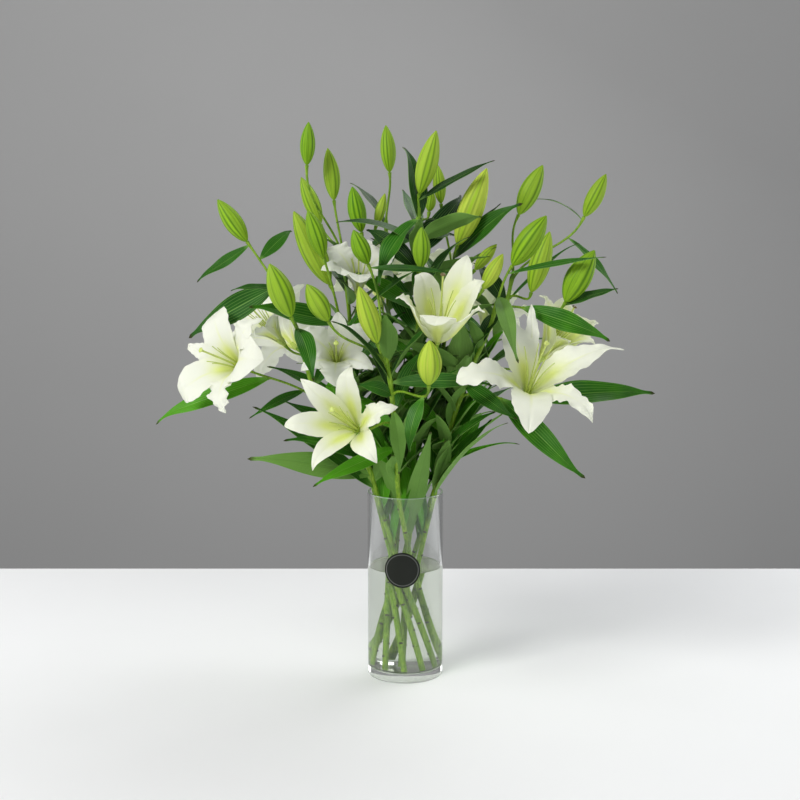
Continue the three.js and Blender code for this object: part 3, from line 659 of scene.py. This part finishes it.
def bladeMaster(name, plan, look):
    length, width = plan["length"], plan["width"]
    clearSelection()
    bpy.ops.mesh.primitive_grid_add(x_subdivisions=plan["columns"], y_subdivisions=plan["rows"],
                                    size=length, location=(0, length / 2, 0))
    bpy.ops.object.transform_apply(location=True, rotation=True, scale=True)
    blade = bpy.context.object
    blade.name = name
    edge = blade.data.attributes.new("edge", "FLOAT", "POINT")
    edge.data.foreach_set("value", [2 * vert.co.x / length for vert in blade.data.vertices])
    bpy.ops.object.mode_set(mode="EDIT")
    for share, sink in plan["furrows"]:  # long furrows, each a line of points pressed in
        choose(blade, lambda vert: abs(abs(vert.co.x) - share * length / 2) < tiny)
        bpy.ops.transform.translate(value=(0, 0, -sink))
    for row in range(plan["rows"]):
        middle = length * row / plan["rows"]
        wide = max(float(outline(row / plan["rows"], *plan["outline"])), plan["foot"])
        choose(blade, lambda vert: abs(vert.co.y - middle) < tiny)
        stretch((wide * width / length, 1, 1), (0, middle, 0))
    choose(blade, lambda vert: abs(vert.co.y - length) < tiny)
    bpy.ops.mesh.merge(type="CENTER")
    bpy.ops.object.mode_set(mode="OBJECT")
    flat = len(blade.data.vertices)
    blade.data.materials.append(look)
    pick(blade)
    bpy.ops.object.modifier_add(type="SOLIDIFY")
    blade.modifiers[-1].thickness = plan["thickness"]
    blade.modifiers[-1].offset = 0
    applyAll(blade)
    under = blade.data.attributes.new("under", "FLOAT", "POINT")
    under.data.foreach_set("value", [float(vert.index >= flat) for vert in blade.data.vertices])
    smooth(blade, 65)
    corners = np.array([vert.co for vert in blade.data.vertices])
    edges = np.zeros(len(corners))
    blade.data.attributes["edge"].data.foreach_get("value", edges)
    return {"piece": blade, "x": corners[:, 0], "z": corners[:, 2], "t": corners[:, 1] / length,
            "edge": edges, "width": width}


def copyOf(master, name, places, tone):
    mesh = master["piece"].data.copy()
    mesh.vertices.foreach_set("co", np.ascontiguousarray(places).ravel())
    shade = mesh.attributes.new("tone", "FLOAT", "POINT")
    shade.data.foreach_set("value", np.full(len(mesh.vertices), tone))
    mesh.update()
    return addObject(name, mesh)


def turnedCopy(master, name, place, axes, tone=0):
    return copyOf(master, name, place + master["corners"] @ np.array(axes), tone)


def layAlong(master, name, points, side, width, lift, tone, curl, sway, twist, shape=1.0):
    t = master["t"]
    centre, along = cubicAt(points, t)
    across = side - (along @ side)[:, None] * along
    across /= np.linalg.norm(across, axis=1, keepdims=True)
    face = np.cross(across, along)
    turn = np.radians(twist) * t[:, None]
    across, face = across * np.cos(turn) + face * np.sin(turn), face * np.cos(turn) - across * np.sin(turn)
    late = np.clip((t - 0.76) / 0.24, 0, 1)[:, None] ** 2  # the tip bends away by itself
    span = np.linalg.norm(np.array(points[3]) - np.array(points[0]))
    centre = centre + late * span * (across * sway - face * curl)
    x = master["x"] * shape * width / master["width"]
    places = centre + across * x[:, None] + face * (master["z"] + lift)[:, None]
    return copyOf(master, name, places, tone)


leaf = {"length": 110 * mm, "width": 24 * mm, "thickness": 0.5 * mm, "columns": 14, "rows": 36,
        "outline": [0.42, 0.8, 1.4], "foot": 0.15,
        "furrows": [[0, 0.35 * mm], [2 / 7, 0.12 * mm], [4 / 7, 0.12 * mm], [6 / 7, 0.1 * mm]],
        "bends": [0.33, 0.7], "rise": 1.33, "fold": [0.12, 0.42], "waves": [1.2, 2.4], "ripple": [0.6, 2.0],
        "curl": [-0.02, 0.06], "sway": [-0.03, 0.03], "twist": [-16, 16]}
# how light a leaf is: from the height of its tip in millimetres, less the higher it is
leafTone = {"base": 0.85, "level": 300, "fall": 420, "chance": 0.28}


def makeLeaf(master, name, root, tip, width, arch, roll, pale=0, shade=0.0):
    chord = tip - root
    heading = unit(np.array([chord[0], chord[1], 0]))
    side = turned(np.cross(heading, up), unit(chord), roll)
    face = unit(np.cross(side, chord))
    bends = [root + chord * share + face * arch * leaf["rise"] for share in leaf["bends"]]
    t, edge = master["t"], master["edge"]
    half = np.abs(master["x"]) * width / master["width"]
    fold = draw(leaf["fold"])
    waves, phase = draw(leaf["waves"]), dice.uniform(0, 1)
    size = draw(leaf["ripple"]) * mm * width / leaf["width"]
    ripple = size * edge ** 2 * np.sin(2 * np.pi * (waves * t + phase + 0.3 * np.sign(edge)))
    lift = fold * half * (1 - 0.7 * t) + ripple * np.sin(np.pi * t)
    tone = leafTone["base"] + shade - (tip[2] / mm - leafTone["level"]) / leafTone["fall"]
    tone = float(np.clip(tone + dice.uniform(-leafTone["chance"], leafTone["chance"]), 0, 1))
    piece = layAlong(master, name, [root, *bends, tip], side, width, lift, tone, draw(leaf["curl"]),
                     draw(leaf["sway"]), draw(leaf["twist"]))
    if pale:  # its underside is turned to the front
        under = piece.data.attributes["under"]
        faces = np.zeros(len(piece.data.vertices))
        under.data.foreach_get("value", faces)
        under.data.foreach_set("value", 1 - faces)
    return piece


# The many leaves low on the stems, a spiral of them on each, kept inside an oval round the middle
fill = {"low": 254 * mm, "share": 0.95, "gap": [8 * mm, 12 * mm], "turn": 137.5,
        "length": [88 * mm, 142 * mm], "width": [22 * mm, 33 * mm], "rise": [24, 62],
        "flatter": 0.35, "over": 250 * mm, "shorter": 0.85, "steeper": 0.1, "tries": 6,
        "middle": [14 * mm, 8 * mm], "oval": [124 * mm, 96 * mm], "front": -58 * mm,
        "open": [-24 * mm, 92 * mm], "arch": [4, 12], "roll": [-50, 50], "shade": [-0.2, 0.34]}
collar = {"count": 2, "low": 172 * mm, "high": 232 * mm, "rise": [73, 82], "length": [92 * mm, 124 * mm],
          "width": [19 * mm, 26 * mm], "spread": 50, "arch": [1, 5], "roll": [-20, 20], "shade": 0.1}


def makeFill(master, line, name):
    leaves = []
    height, angle = fill["low"] + dice.uniform(0, fill["gap"][1]), dice.uniform(0, 360)
    while height < line[-1, 2] * fill["share"]:
        root = atHeight(line, height)[0]
        flatter = 1 - fill["flatter"] * (height - fill["low"]) / fill["over"]
        rise = math.radians(draw(fill["rise"]) * flatter)
        length, width = draw(fill["length"]), draw(fill["width"])
        out = polar(1, angle, 0)
        for _ in range(fill["tries"]):  # shorter until its tip lies inside the oval
            tip = root + (out * math.cos(rise) + up * math.sin(rise)) * length
            reach = np.linalg.norm((tip[:2] - fill["middle"]) / fill["oval"])
            if reach < 1:
                break
            length *= fill["shorter"]
            rise += fill["steeper"]
        hides = tip[1] < fill["front"] and not fill["open"][0] < tip[0] < fill["open"][1]
        if reach < 1 and not hides:
            width *= 0.6 + 0.4 * length / fill["length"][1]
            leaves.append(makeLeaf(master, name, root, tip, width, draw(fill["arch"]) * mm,
                                   draw(fill["roll"]), shade=draw(fill["shade"])))
        height += draw(fill["gap"])
        angle += fill["turn"]
    return leaves


def makeCollar(master, line, name):  # leaves that start inside the vase, above the water
    leaves = []
    for _ in range(collar["count"]):
        root = atHeight(line, dice.uniform(collar["low"], collar["high"]))[0]
        inward = math.degrees(math.atan2(-root[1], -root[0])) + dice.uniform(-1, 1) * collar["spread"]
        rise = math.radians(draw(collar["rise"]))
        way = polar(math.cos(rise), inward, 0) + up * math.sin(rise)
        tip = root + way * draw(collar["length"])
        width, arch = draw(collar["width"]), draw(collar["arch"]) * mm
        leaves.append(makeLeaf(master, name, root, tip, width, arch, draw(collar["roll"]),
                               shade=collar["shade"]))
    return leaves


# Stems: each a straight run from the vase's floor to the rim, then curving up its own way

stem = {"foot": 3.9 * mm, "head": 2.6 * mm, "footReach": 38 * mm, "rimReach": 41.7 * mm, "twist": 132,
        "floor": 13.6 * mm, "steps": 10, "knot": 0.16, "knotLength": 5 * mm, "roundness": 4}
stalk = {"radius": 1.55 * mm, "pull": 0.38, "cuff": 5 * mm, "steps": 16, "foot": 1.5, "head": 1.75,
         "footShare": 0.08, "headShare": 0.07}
scar = {"gap": [13 * mm, 21 * mm], "low": 24 * mm, "high": 250 * mm, "turn": 137.5,
        "width": 5.6 * mm, "height": 1.9 * mm, "depth": 1.4 * mm, "proud": 0.85 * mm}


def polar(reach, degrees, height):
    angle = math.radians(degrees)
    return np.array([reach * math.cos(angle), reach * math.sin(angle), height])


def stemLine(plan):
    reach = plan.get("reach", 1)
    start = polar(stem["footReach"] * reach, plan.get("foot", plan["rim"] + stem["twist"]), stem["floor"])
    lean = polar(stem["rimReach"] * reach, plan["rim"], vase["height"])
    way = [start, start * 0.65 + lean * 0.35, start * 0.3 + lean * 0.7, lean]
    way += [vec(place) for place in plan["rise"]]
    way = [2 * way[0] - way[1], *way, 2 * way[-1] - way[-2]]
    line = []
    for a, b, c, d in zip(way, way[1:], way[2:], way[3:]):
        pull = [b, b + (c - a) / 6, c - (d - b) / 6, c]
        line.extend(cubicAt(pull, np.linspace(0, 1, stem["steps"], endpoint=False))[0])
    return np.array([*line, way[-2]])


def atHeight(line, height):
    place = np.array([np.interp(height, line[:, 2], line[:, axis]) for axis in range(3)])
    step = int(np.clip(np.searchsorted(line[:, 2], height), 1, len(line) - 1))
    return place, unit(line[step] - line[step - 1])


def stalkLine(line, height, base, axis):
    root, along = atHeight(line, height)
    reach = np.linalg.norm(base - root)
    away = unit(unit(base - root) + along)
    points = [root, root + away * reach * stalk["pull"], base - axis * reach * stalk["pull"],
              base - axis * stalk["cuff"]]
    return np.array([*cubicAt(points, np.linspace(0, 1, stalk["steps"]))[0], base])


def onStalk(line, share):  # the stalk's last third, as the shares count, is its straight cuff
    place = min(share * 1.5, 1) * (stalk["steps"] - 1)
    step = min(int(place), len(line) - 2)
    return line[step] + (line[step + 1] - line[step]) * (place - step)


def makeTubes(name, runs, roundness, look):
    curve = bpy.data.curves.new(name, "CURVE")
    curve.dimensions = "3D"
    curve.bevel_depth = 1  # each point's radius is its real one
    curve.bevel_resolution = roundness
    curve.use_fill_caps = True
    for places, radii in runs:
        spline = curve.splines.new("POLY")
        spline.points.add(len(places) - 1)
        for point, place, radius in zip(spline.points, places, radii):
            point.co = (*place, 1)
            point.radius = radius
    pick(addObject(name, curve))
    bpy.ops.object.convert(target="MESH")
    piece = bpy.context.object
    piece.data.materials.append(look)
    smooth(piece, 50)
    return piece


def finishForm(piece, look):  # a master that copies are made from
    bpy.ops.object.mode_set(mode="OBJECT")
    piece.data.materials.append(look)
    smooth(piece, 80)
    return {"piece": piece, "corners": np.array([vert.co for vert in piece.data.vertices])}


def scarMaster(look):
    mark = startPiece("scar", bpy.ops.mesh.primitive_uv_sphere_add, segments=12, ring_count=6, radius=1)
    stretch((scar["width"] / 2, scar["depth"], scar["height"]))
    choose(mark, lambda vert: vert.co.z > tiny)
    stretch((0.7, 1, 0.5))  # flatter above than below
    return finishForm(mark, look)


def makeScars(master, line, name):
    marks = []
    height, angle = scar["low"] + dice.uniform(0, scar["gap"][0]), dice.uniform(0, 360)
    while height < scar["high"]:
        place, along = atHeight(line, height)
        radius = np.interp(height, [line[0, 2], line[-1, 2]], [stem["foot"], stem["head"]])
        out = unit(np.cross(along, polar(1, angle, 0)))
        across = np.cross(out, along)
        centre = place + out * (radius - scar["depth"] + scar["proud"])
        marks.append(turnedCopy(master, name, centre, [across, out, along]))
        height += draw(scar["gap"])
        angle += scar["turn"]
    return marks


# Buds: a master shaped from a sphere, with three ribs each between two grooves

bud = {"length": 70 * mm, "width": 24 * mm, "segments": 48, "rings": 30, "outline": [0.46, 0.62, 0.74],
       "tipWidth": 0.1, "grooves": [[15, [0.955, 0.965, 0.975]], [60, [0.97, 0.975, 0.985]]],
       "grooveEnds": [[0.05, 0.97], [0.12, 0.92], [0.2, 0.82]], "bow": [-0.02, 0.02]}


def budMaster(look):
    length, width = bud["length"], bud["width"]
    form = startPiece("bud", bpy.ops.mesh.primitive_uv_sphere_add, segments=bud["segments"],
                      ring_count=bud["rings"], radius=length / 2, location=(0, 0, length / 2))
    for ring in range(1, bud["rings"]):
        turn = math.pi * ring / bud["rings"]
        height = length / 2 * (1 - math.cos(turn))
        wide = max(float(outline(height / length, *bud["outline"])), bud["tipWidth"])
        if ring == bud["rings"] - 1:
            wide = bud["tipWidth"] * 0.75
        share = wide * width / (length * math.sin(turn))
        choose(form, lambda vert: abs(vert.co.z - height) < tiny)
        stretch((share, share, 1), (0, 0, height))
    for away, presses in bud["grooves"]:
        for (low, high), press in zip(bud["grooveEnds"], presses):
            def inGroove(vert):
                turn = math.degrees(math.atan2(vert.co.y, vert.co.x)) % 120 - 60
                inside = low < vert.co.z / length < high
                return inside and abs(min(abs(turn - away), abs(turn + away))) < 2
            choose(form, inGroove)
            stretch((press, press, 1))
    return finishForm(form, look)


def makeBud(master, name, base, tip, width, tone):
    axis = unit(tip - base)
    across = unit(np.cross(axis, polar(1, dice.uniform(0, 360), 0)))
    third = np.cross(axis, across)
    length = np.linalg.norm(tip - base)
    corners = master["corners"] * [width / bud["width"], width / bud["width"], length / bud["length"]]
    bow = draw(bud["bow"]) * length * np.sin(np.pi * master["corners"][:, 2] / bud["length"])
    places = base + corners @ np.array([across, third, axis]) + bow[:, None] * across
    return copyOf(master, name, places, tone)


# Blooms: three broad inner petals over three narrower outer ones, round the pistil and six filaments

petal = {"root": [3 * mm, 1.8 * mm], "layer": 2.4 * mm, "rise": [0.42, 0.1], "bend": [0.72, 0.16, 0.4],
         "tip": [0.84, 0.38, 0.72], "throat": 9 * mm, "open": 70 * mm, "waves": [2.6, 3.8],
         "nibbles": [7, 10], "curl": [0.01, 0.07], "sway": [-0.04, 0.04], "twist": [-8, 8],
         "longer": [0.97, 1.04], "wider": [0.94, 1.06], "turn": [-5, 5], "thinnest": 0.06}
innerPetal = {"length": 120 * mm, "width": 40 * mm, "thickness": 0.7 * mm, "columns": 18, "rows": 40,
              "outline": [0.58, 1.05, 0.7], "foot": 0.16, "furrows": [[0, 0.9 * mm], [1 / 9, 0.5 * mm]],
              "form": "inner"}
outerPetal = {"length": 120 * mm, "width": 30 * mm, "thickness": 0.7 * mm, "columns": 14, "rows": 40,
              "outline": [0.52, 1.0, 0.86], "foot": 0.22, "furrows": [[0, 0.6 * mm], [1 / 7, 0.2 * mm]],
              "form": "outer"}
# each form's width as a share of the plan's, the waves and the nibbles of its edge, its outline, and
# how far its tip rolls back, which is left to chance where it is None
petalForms = {
    "inner": [1.12, 3 * mm, 0.05, innerPetal["outline"], None],
    "outer": [0.76, 1.2 * mm, 0.02, outerPetal["outline"], None],
    "lance": [0.86, 0.5 * mm, 0, [0.46, 0.88, 1.0], 0.03],
    "hooked": [0.92, 0.6 * mm, 0.01, [0.5, 0.9, 0.85], 0.09],
    "slim": [0.5, 1.4 * mm, 0.06, [0.45, 0.85, 1.1], 0.05],
    "tapered": [1.12, 1.8 * mm, 0.04, [0.46, 0.95, 2.1], 0.02],
    "blunt": [1.04, 1 * mm, 0.01, [0.66, 0.9, 0.42], 0.1],
    "broad": [1.34, 1.5 * mm, 0.02, [0.56, 0.9, 0.7], 0.06],
    "frilled": [0.98, 4.5 * mm, 0.1, [0.62, 0.95, 0.5], 0.1],
    "crinkled": [0.8, 4 * mm, 0.12, [0.5, 0.95, 0.8], 0.08],
}
# for the blooms seen best from the front: how the petals rise, then each petal's own turn in degrees,
# share of the length, and form
petalTune = {
    "left_front_1": [[0.4, 0.12], [5, -3, -5, 0, 7, -5], [1, 0.96, 1.06, 1, 1.01, 0.98],
                     ["blunt", "slim", "blunt", "crinkled", "broad", "crinkled"]],
    "front_centre_1": [[0.28, 0.16], [-3, 15, 4, -7, -11, 2], [1.02, 0.92, 1.04, 1.02, 0.99, 0.99],
                       ["crinkled", "hooked", "lance", "hooked", "lance", "hooked"]],
    "centre_1": [[0.24, 0.26], [11, -15, -11, 4, 6, 6], [0.96, 1.09, 0.9, 1.01, 1.02, 1.01],
                 ["lance", "lance", "hooked", "tapered", "blunt", "tapered"]],
    "right_front_1": [[0.3, 0.14], [-1, 16, -18, 1, 5, -3], [1.1, 0.95, 0.94, 1.01, 1, 0.98],
                      ["tapered", "slim", "tapered", "frilled", "broad", "crinkled"]],
    "right_back_1": [[0.46, 0.16], [-8, 4, 6, -6, 4, 0], [1.02, 1, 1.02, 0.94, 0.8, 0.9],
                     ["tapered", "lance", "tapered", "lance", "slim", "lance"]],
}
cup = {"radii": [1.9 * mm, 3.4 * mm, 4.6 * mm, 5.2 * mm, 4.6 * mm],
       "places": [-3 * mm, 1 * mm, 5 * mm, 10 * mm, 14 * mm]}
pistil = {"places": [4 * mm, 8 * mm, 22 * mm, 26 * mm],
          "radii": [2.4 * mm, 2.9 * mm, 2.5 * mm, 1.25 * mm],
          "style": 1.15 * mm, "neck": 1.5 * mm, "reach": 0.74, "bow": 0.03, "stigma": 3.4 * mm,
          "stigmaHeight": 2.3 * mm, "ripe": 0.55}  # the stigma is brown on a bloom greener than this
filament = {"count": 6, "root": 3.2 * mm, "start": 6 * mm, "reach": 0.6, "spread": 0.13, "foot": 1.1 * mm,
            "head": 0.55 * mm, "steps": 12, "longer": [0.92, 1.05], "wider": [0.7, 1.15], "turn": [-6, 6]}
anther = {"length": 8 * mm, "radius": 1.3 * mm}


def bloomFrame(plan):
    axis = unit(np.array(plan[2], float))
    across = np.array([1.0, 0, 0])
    across = unit(across - axis * (across @ axis))
    return vec(plan[1]) + axis * 0.3 * mm, axis, across, np.cross(axis, across)


def makePetal(master, name, kind, plan, k, tune):
    base, axis, across, third = bloomFrame(plan)
    length, spread, phase, width, tone = plan[3] * mm, plan[4], plan[5], plan[6] * mm, plan[7]
    if tune:
        (low, wide), turns, shares, forms = tune
        form = forms[k]
        length *= shares[k]
        phase += turns[k]
    else:
        (low, wide), form = petal["rise"], kind["form"]
        length *= draw(petal["longer"])
        spread *= draw(petal["wider"])
        phase += draw(petal["turn"])
    angle = math.radians(phase + 60 * k)
    out = across * math.cos(angle) + third * math.sin(angle)
    side = across * math.sin(angle) - third * math.cos(angle)
    layer = petal["layer"] * (k % 2)

    def opened(along, loss, away):
        return base + axis * length * (along - loss * spread) + out * (length * away * spread + layer)

    rise = base + axis * length * low + out * (length * wide + layer)
    points = [base + axis * petal["root"][0] + out * (petal["root"][1] + layer * 0.7), rise,
              opened(*petal["bend"]), opened(*petal["tip"])]
    t, edge = master["t"], master["edge"]
    broader, ruffle, nibble, way, curl = petalForms[form]
    chance = draw(petal["curl"])
    curl = chance if curl is None else curl
    width *= broader
    shape = np.maximum(outline(t, *way), petal["thinnest"])
    shape = shape / np.maximum(outline(t, *kind["outline"]), kind["foot"])
    nibbles = np.sin(2 * np.pi * draw(petal["nibbles"]) * t + edge)
    shape = shape * (1 + nibble * edge ** 4 * nibbles)
    half = master["x"] * shape * width / master["width"]
    # cupped round the throat, flat in the middle, rolled back towards the tip
    hollow = 1 / (petal["throat"] + petal["open"] * t ** 1.3) * np.clip(1.25 - 1.7 * t, -0.25, 1)
    lift = half ** 2 / 2 * hollow
    waves = draw(petal["waves"])
    start = np.where(edge > 0, dice.uniform(0, 1), dice.uniform(0, 1))
    ramp = np.clip((t - 0.25) / 0.3, 0, 1) * np.clip((1 - t) / 0.12, 0, 1)
    wave = np.sin(2 * np.pi * (waves * t + start))
    wave = wave + 0.45 * np.sin(2 * np.pi * (2.3 * waves * t + 2 * start))  # small waves on the large ones
    lift = lift + ruffle * ramp * np.abs(edge) ** 2.2 * wave
    return layAlong(master, name, points, side, width, lift, tone, curl,
                    draw(petal["sway"]), draw(petal["twist"]), shape)


def stigmaMaster(look):
    knob = startPiece("stigma", bpy.ops.mesh.primitive_uv_sphere_add, segments=24, ring_count=10, radius=1)
    stretch((pistil["stigma"], pistil["stigma"], pistil["stigmaHeight"] / 2))
    for third in (30, 150, 270):  # three lobes
        choose(knob, lambda vert: abs(math.degrees(math.atan2(vert.co.y, vert.co.x)) % 360 - third) < 10)
        stretch((0.72, 0.72, 0.8))
    return finishForm(knob, look)


def makePistil(name, plan, stigma, lime, brown):
    base, axis, across, third = bloomFrame(plan)
    length = plan[3] * mm
    rest = unit(dice.uniform(-1, 1) * across + dice.uniform(-1, 1) * third + 0.8 * up)
    bow = pistil["bow"] * length
    end = length * pistil["reach"]
    along = [*pistil["places"], *np.linspace(pistil["places"][-1], end, 9)[1:]]
    radii = [*pistil["radii"], *np.linspace(pistil["radii"][-1], pistil["style"], 7), pistil["neck"]]
    way = [base + axis * place + rest * bow * (place / end) ** 2 for place in along]
    runs = [(way, radii[:len(way)])]
    marks = []
    for k in range(filament["count"]):
        angle = math.radians(60 * (k + 0.5) + draw(filament["turn"]))
        out = across * math.cos(angle) + third * math.sin(angle)
        reach = length * filament["reach"] * draw(filament["longer"])
        away = length * filament["spread"] * draw(filament["wider"])
        points = [base + axis * filament["start"] + out * filament["root"],
                  base + axis * reach * 0.4 + out * (filament["root"] + away * 0.1),
                  base + axis * reach * 0.75 + out * away * 0.55,
                  base + axis * reach + out * away]
        runs.append((cubicAt(points, np.linspace(0, 1, filament["steps"]))[0],
                     np.linspace(filament["foot"], filament["head"], filament["steps"])))
        if len(plan) > 8 and k in plan[8]:
            tip = points[3]
            cross = unit(np.cross(axis, out)) * anther["length"] / 2
            shares = np.linspace(-1, 1, 7)
            swell = anther["radius"] * np.sqrt(np.clip(1.04 - shares ** 2, 0, 1))
            marks.append(([tip + cross * share for share in shares], swell))
    pieces = [makeTubes(name, runs, 2, lime)]
    if marks:
        pieces.append(makeTubes(name + "_anthers", marks, 2, brown))
    knob = turnedCopy(stigma, name + "_stigma", way[-1], [across, third, axis])
    knob.data.materials[0] = brown if plan[7] > pistil["ripe"] else lime
    pieces.append(knob)
    return joinAll(pieces, name)


# Build everything

green, budGreen, white, stalkGreen = leafLook(), budLook(), petalLook(), stemLook()
scarBrown = plainLook("stem_scar", colour(34, 30, 12), colour(54, 54, 20), 0.6, 300)
limePistil = plainLook("pistil_lime", colour(206, 216, 128), colour(176, 196, 88), 0.45, 260)
stigmaBrown = plainLook("stigma_olive", colour(118, 112, 62), colour(88, 70, 44), 0.5, 700)
cupGreen = plainLook("cup_lime", colour(158, 184, 66), colour(188, 206, 98), 0.45, 180)

glass = makeVase()
body = makeWater()
disc = makeLabel()
for piece, node, slot in ((glass, "vase", "vase_glass"), (body, "water", "water"),
                          (disc, "label", "label")):
    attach(piece, "root")
    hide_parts(node)
print("vase, water and label made")

leafBlade = bladeMaster("leaf", leaf, green)
fillBlade = bladeMaster("leaf_fill", {**leaf, "columns": 8, "rows": 24, "furrows": [[0, 0.35 * mm]]}, green)
innerBlade = bladeMaster("petal_inner", innerPetal, white)
outerBlade = bladeMaster("petal_outer", outerPetal, white)
budForm = budMaster(budGreen)
scarForm = scarMaster(scarBrown)
stigmaForm = stigmaMaster(stigmaBrown)
print("masters made")


def stemRadii(line, knots):
    radii = np.interp(line[:, 2], [line[0, 2], line[-1, 2]], [stem["foot"], stem["head"]])
    for knot in knots:
        near = np.exp(-((line[:, 2] - knot) / stem["knotLength"]) ** 2)
        radii = radii * (1 + stem["knot"] * near)
    return radii


for name, plan in stems.items():
    line = stemLine(plan)
    stalks, buds, knots = [], [], []
    for height, base, tip, width, tone in plan["buds"]:
        base, tip = vec(base), vec(tip)
        stalks.append(stalkLine(line, height * mm, base, unit(tip - base)))
        buds.append(makeBud(budForm, f"bud_{name}", base, tip, width * mm, tone))
        knots.append(height * mm)
    for bloom in plan["blooms"]:
        stalks.append(stalkLine(line, bloom[0] * mm, vec(bloom[1]), unit(np.array(bloom[2], float))))
        knots.append(bloom[0] * mm)
    leaves = []
    for shoot, place, tip, width, arch, roll, *pale in plan["leaves"]:
        root = onStalk(stalks[shoot - 1], place) if shoot else atHeight(line, place * mm)[0]
        leaves.append(makeLeaf(leafBlade, f"leaf_{name}", root, vec(tip), width * mm, arch * mm, roll,
                               *pale))
        if not shoot:
            knots.append(place * mm)
    runs = [(line, stemRadii(line, knots))]
    for way in stalks:
        share = np.linspace(0, 1, len(way))
        swell = 1 + (stalk["foot"] - 1) * np.exp(-(share / stalk["footShare"]) ** 2)
        swell += (stalk["head"] - 1) * np.exp(-((1 - share) / stalk["headShare"]) ** 2)
        runs.append((way, stalk["radius"] * swell))
    shootPiece = makeTubes(f"shoot_{name}", runs, stem["roundness"], stalkGreen)
    shootPiece = joinAll([shootPiece, *makeScars(scarForm, line, f"scar_{name}")], f"shoot_{name}")
    leaves += makeFill(fillBlade, line, f"leaf_{name}")
    leaves += makeCollar(fillBlade, line, f"leaf_{name}")
    leafPiece = joinAll(leaves, f"leaves_{name}")
    budPiece = joinAll(buds, f"buds_{name}")
    for piece in (shootPiece, leafPiece, budPiece):
        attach(piece, "root")
        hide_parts(f"stem_{name}")
    for i, bloom in enumerate(plan["blooms"], 1):
        petals = []
        tune = petalTune.get(f"{name}_{i}")
        for k in (1, 3, 5, 0, 2, 4):
            kind, blade = (outerPetal, outerBlade) if k % 2 else (innerPetal, innerBlade)
            petals.append(makePetal(blade, f"petal_{name}_{i}", kind, bloom, k, tune))
        base, axis, across, third = bloomFrame(bloom)
        run = ([base + axis * place for place in cup["places"]], cup["radii"])
        petals.append(makeTubes(f"cup_{name}_{i}", [run], 3, cupGreen))
        bloomPiece = joinAll(petals, f"petals_{name}_{i}")
        pistilPiece = makePistil(f"pistil_set_{name}_{i}", bloom, stigmaForm, limePistil, stigmaBrown)
        for piece, node, slot in ((bloomPiece, "bloom", "petal_white"),
                                  (pistilPiece, "pistil", "pistil_lime")):
            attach(piece, "root")
            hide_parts(f"{node}_{name}_{i}")
    print("stem", name, "made")

for master in (leafBlade, fillBlade, innerBlade, outerBlade, budForm, scarForm, stigmaForm):
    bpy.data.objects.remove(master["piece"])

# The photograph's view: a camera 2.1 m in front, 0.72 m up, looking down by 9.5 degrees

view = {"place": (-0.007, -2.1, 0.723), "down": 9.5, "lens": 73.1, "sensor": 36}
floorPlan = {"back": 0.52, "front": 4.0, "side": 3.0}
wallPlan = {"away": 2.7, "side": 5.0, "low": -2.4, "high": 3.6}
lampAim = (0, 0, 0.4)
lamps = {  # place, size, power, colour
    "key": [(-1.6, -1.5, 2.1), 0.9, 60, (1, 0.985, 0.96)],
    "fill": [(0.9, -2.6, 1.0), 1.8, 20, (0.97, 0.985, 1)],
    "back": [(0.9, 1.1, 1.9), 1.2, 20, (1, 1, 1)],
    "right": [(1.5, 0.35, 0.6), 0.9, 9, (1, 1, 1)],
    "left": [(-1.5, 0.3, 0.6), 0.7, 5, (1, 1, 1)],
}
sky = {"Color": (0.95, 0.97, 1, 1), "Strength": 0.15}


def makePlane(name, corners, look):
    clearSelection()
    bpy.ops.mesh.primitive_plane_add(size=2)
    plane = bpy.context.object
    plane.name = name
    plane.data.vertices.foreach_set("co", np.array(corners, float).ravel())
    plane.data.update()
    plane.data.materials.append(look)


floorLook = plainLook("floor_pale", (0.82, 0.83, 0.84, 1), (0.86, 0.87, 0.88, 1), 0.55, 3)
wallLook = plainLook("backdrop_grey", (0.57, 0.57, 0.57, 1), (0.61, 0.61, 0.61, 1), 0.9, 1.5)
side, back, front = floorPlan["side"], floorPlan["back"], floorPlan["front"]
makePlane("floor", [(-side, -front, 0), (side, -front, 0), (-side, back, 0), (side, back, 0)], floorLook)
side, back, low, high = wallPlan["side"], wallPlan["away"], wallPlan["low"], wallPlan["high"]
corners = [(-side, back, low), (side, back, low), (-side, back, high), (side, back, high)]
makePlane("backdrop", corners, wallLook)

camera = addObject("camera", bpy.data.cameras.new("camera"))
camera.data.lens = view["lens"]
camera.data.sensor_width = view["sensor"]
camera.location = view["place"]
camera.rotation_euler = (math.radians(90 - view["down"]), 0, 0)
bpy.context.scene.camera = camera

for name, (place, size, power, tint) in lamps.items():
    light = bpy.data.lights.new(name, "AREA")
    light.energy, light.size, light.color = power, size, tint
    holder = addObject(name, light)
    holder.location = place
    holder.rotation_euler = (Vector(lampAim) - Vector(place)).to_track_quat("-Z", "Y").to_euler()

world = bpy.data.worlds.new("studio")
world.use_nodes = True
for name, value in sky.items():
    world.node_tree.nodes["Background"].inputs[name].default_value = value
bpy.context.scene.world = world
bpy.context.scene.view_settings.view_transform = "Standard"

bpy.context.view_layer.update()
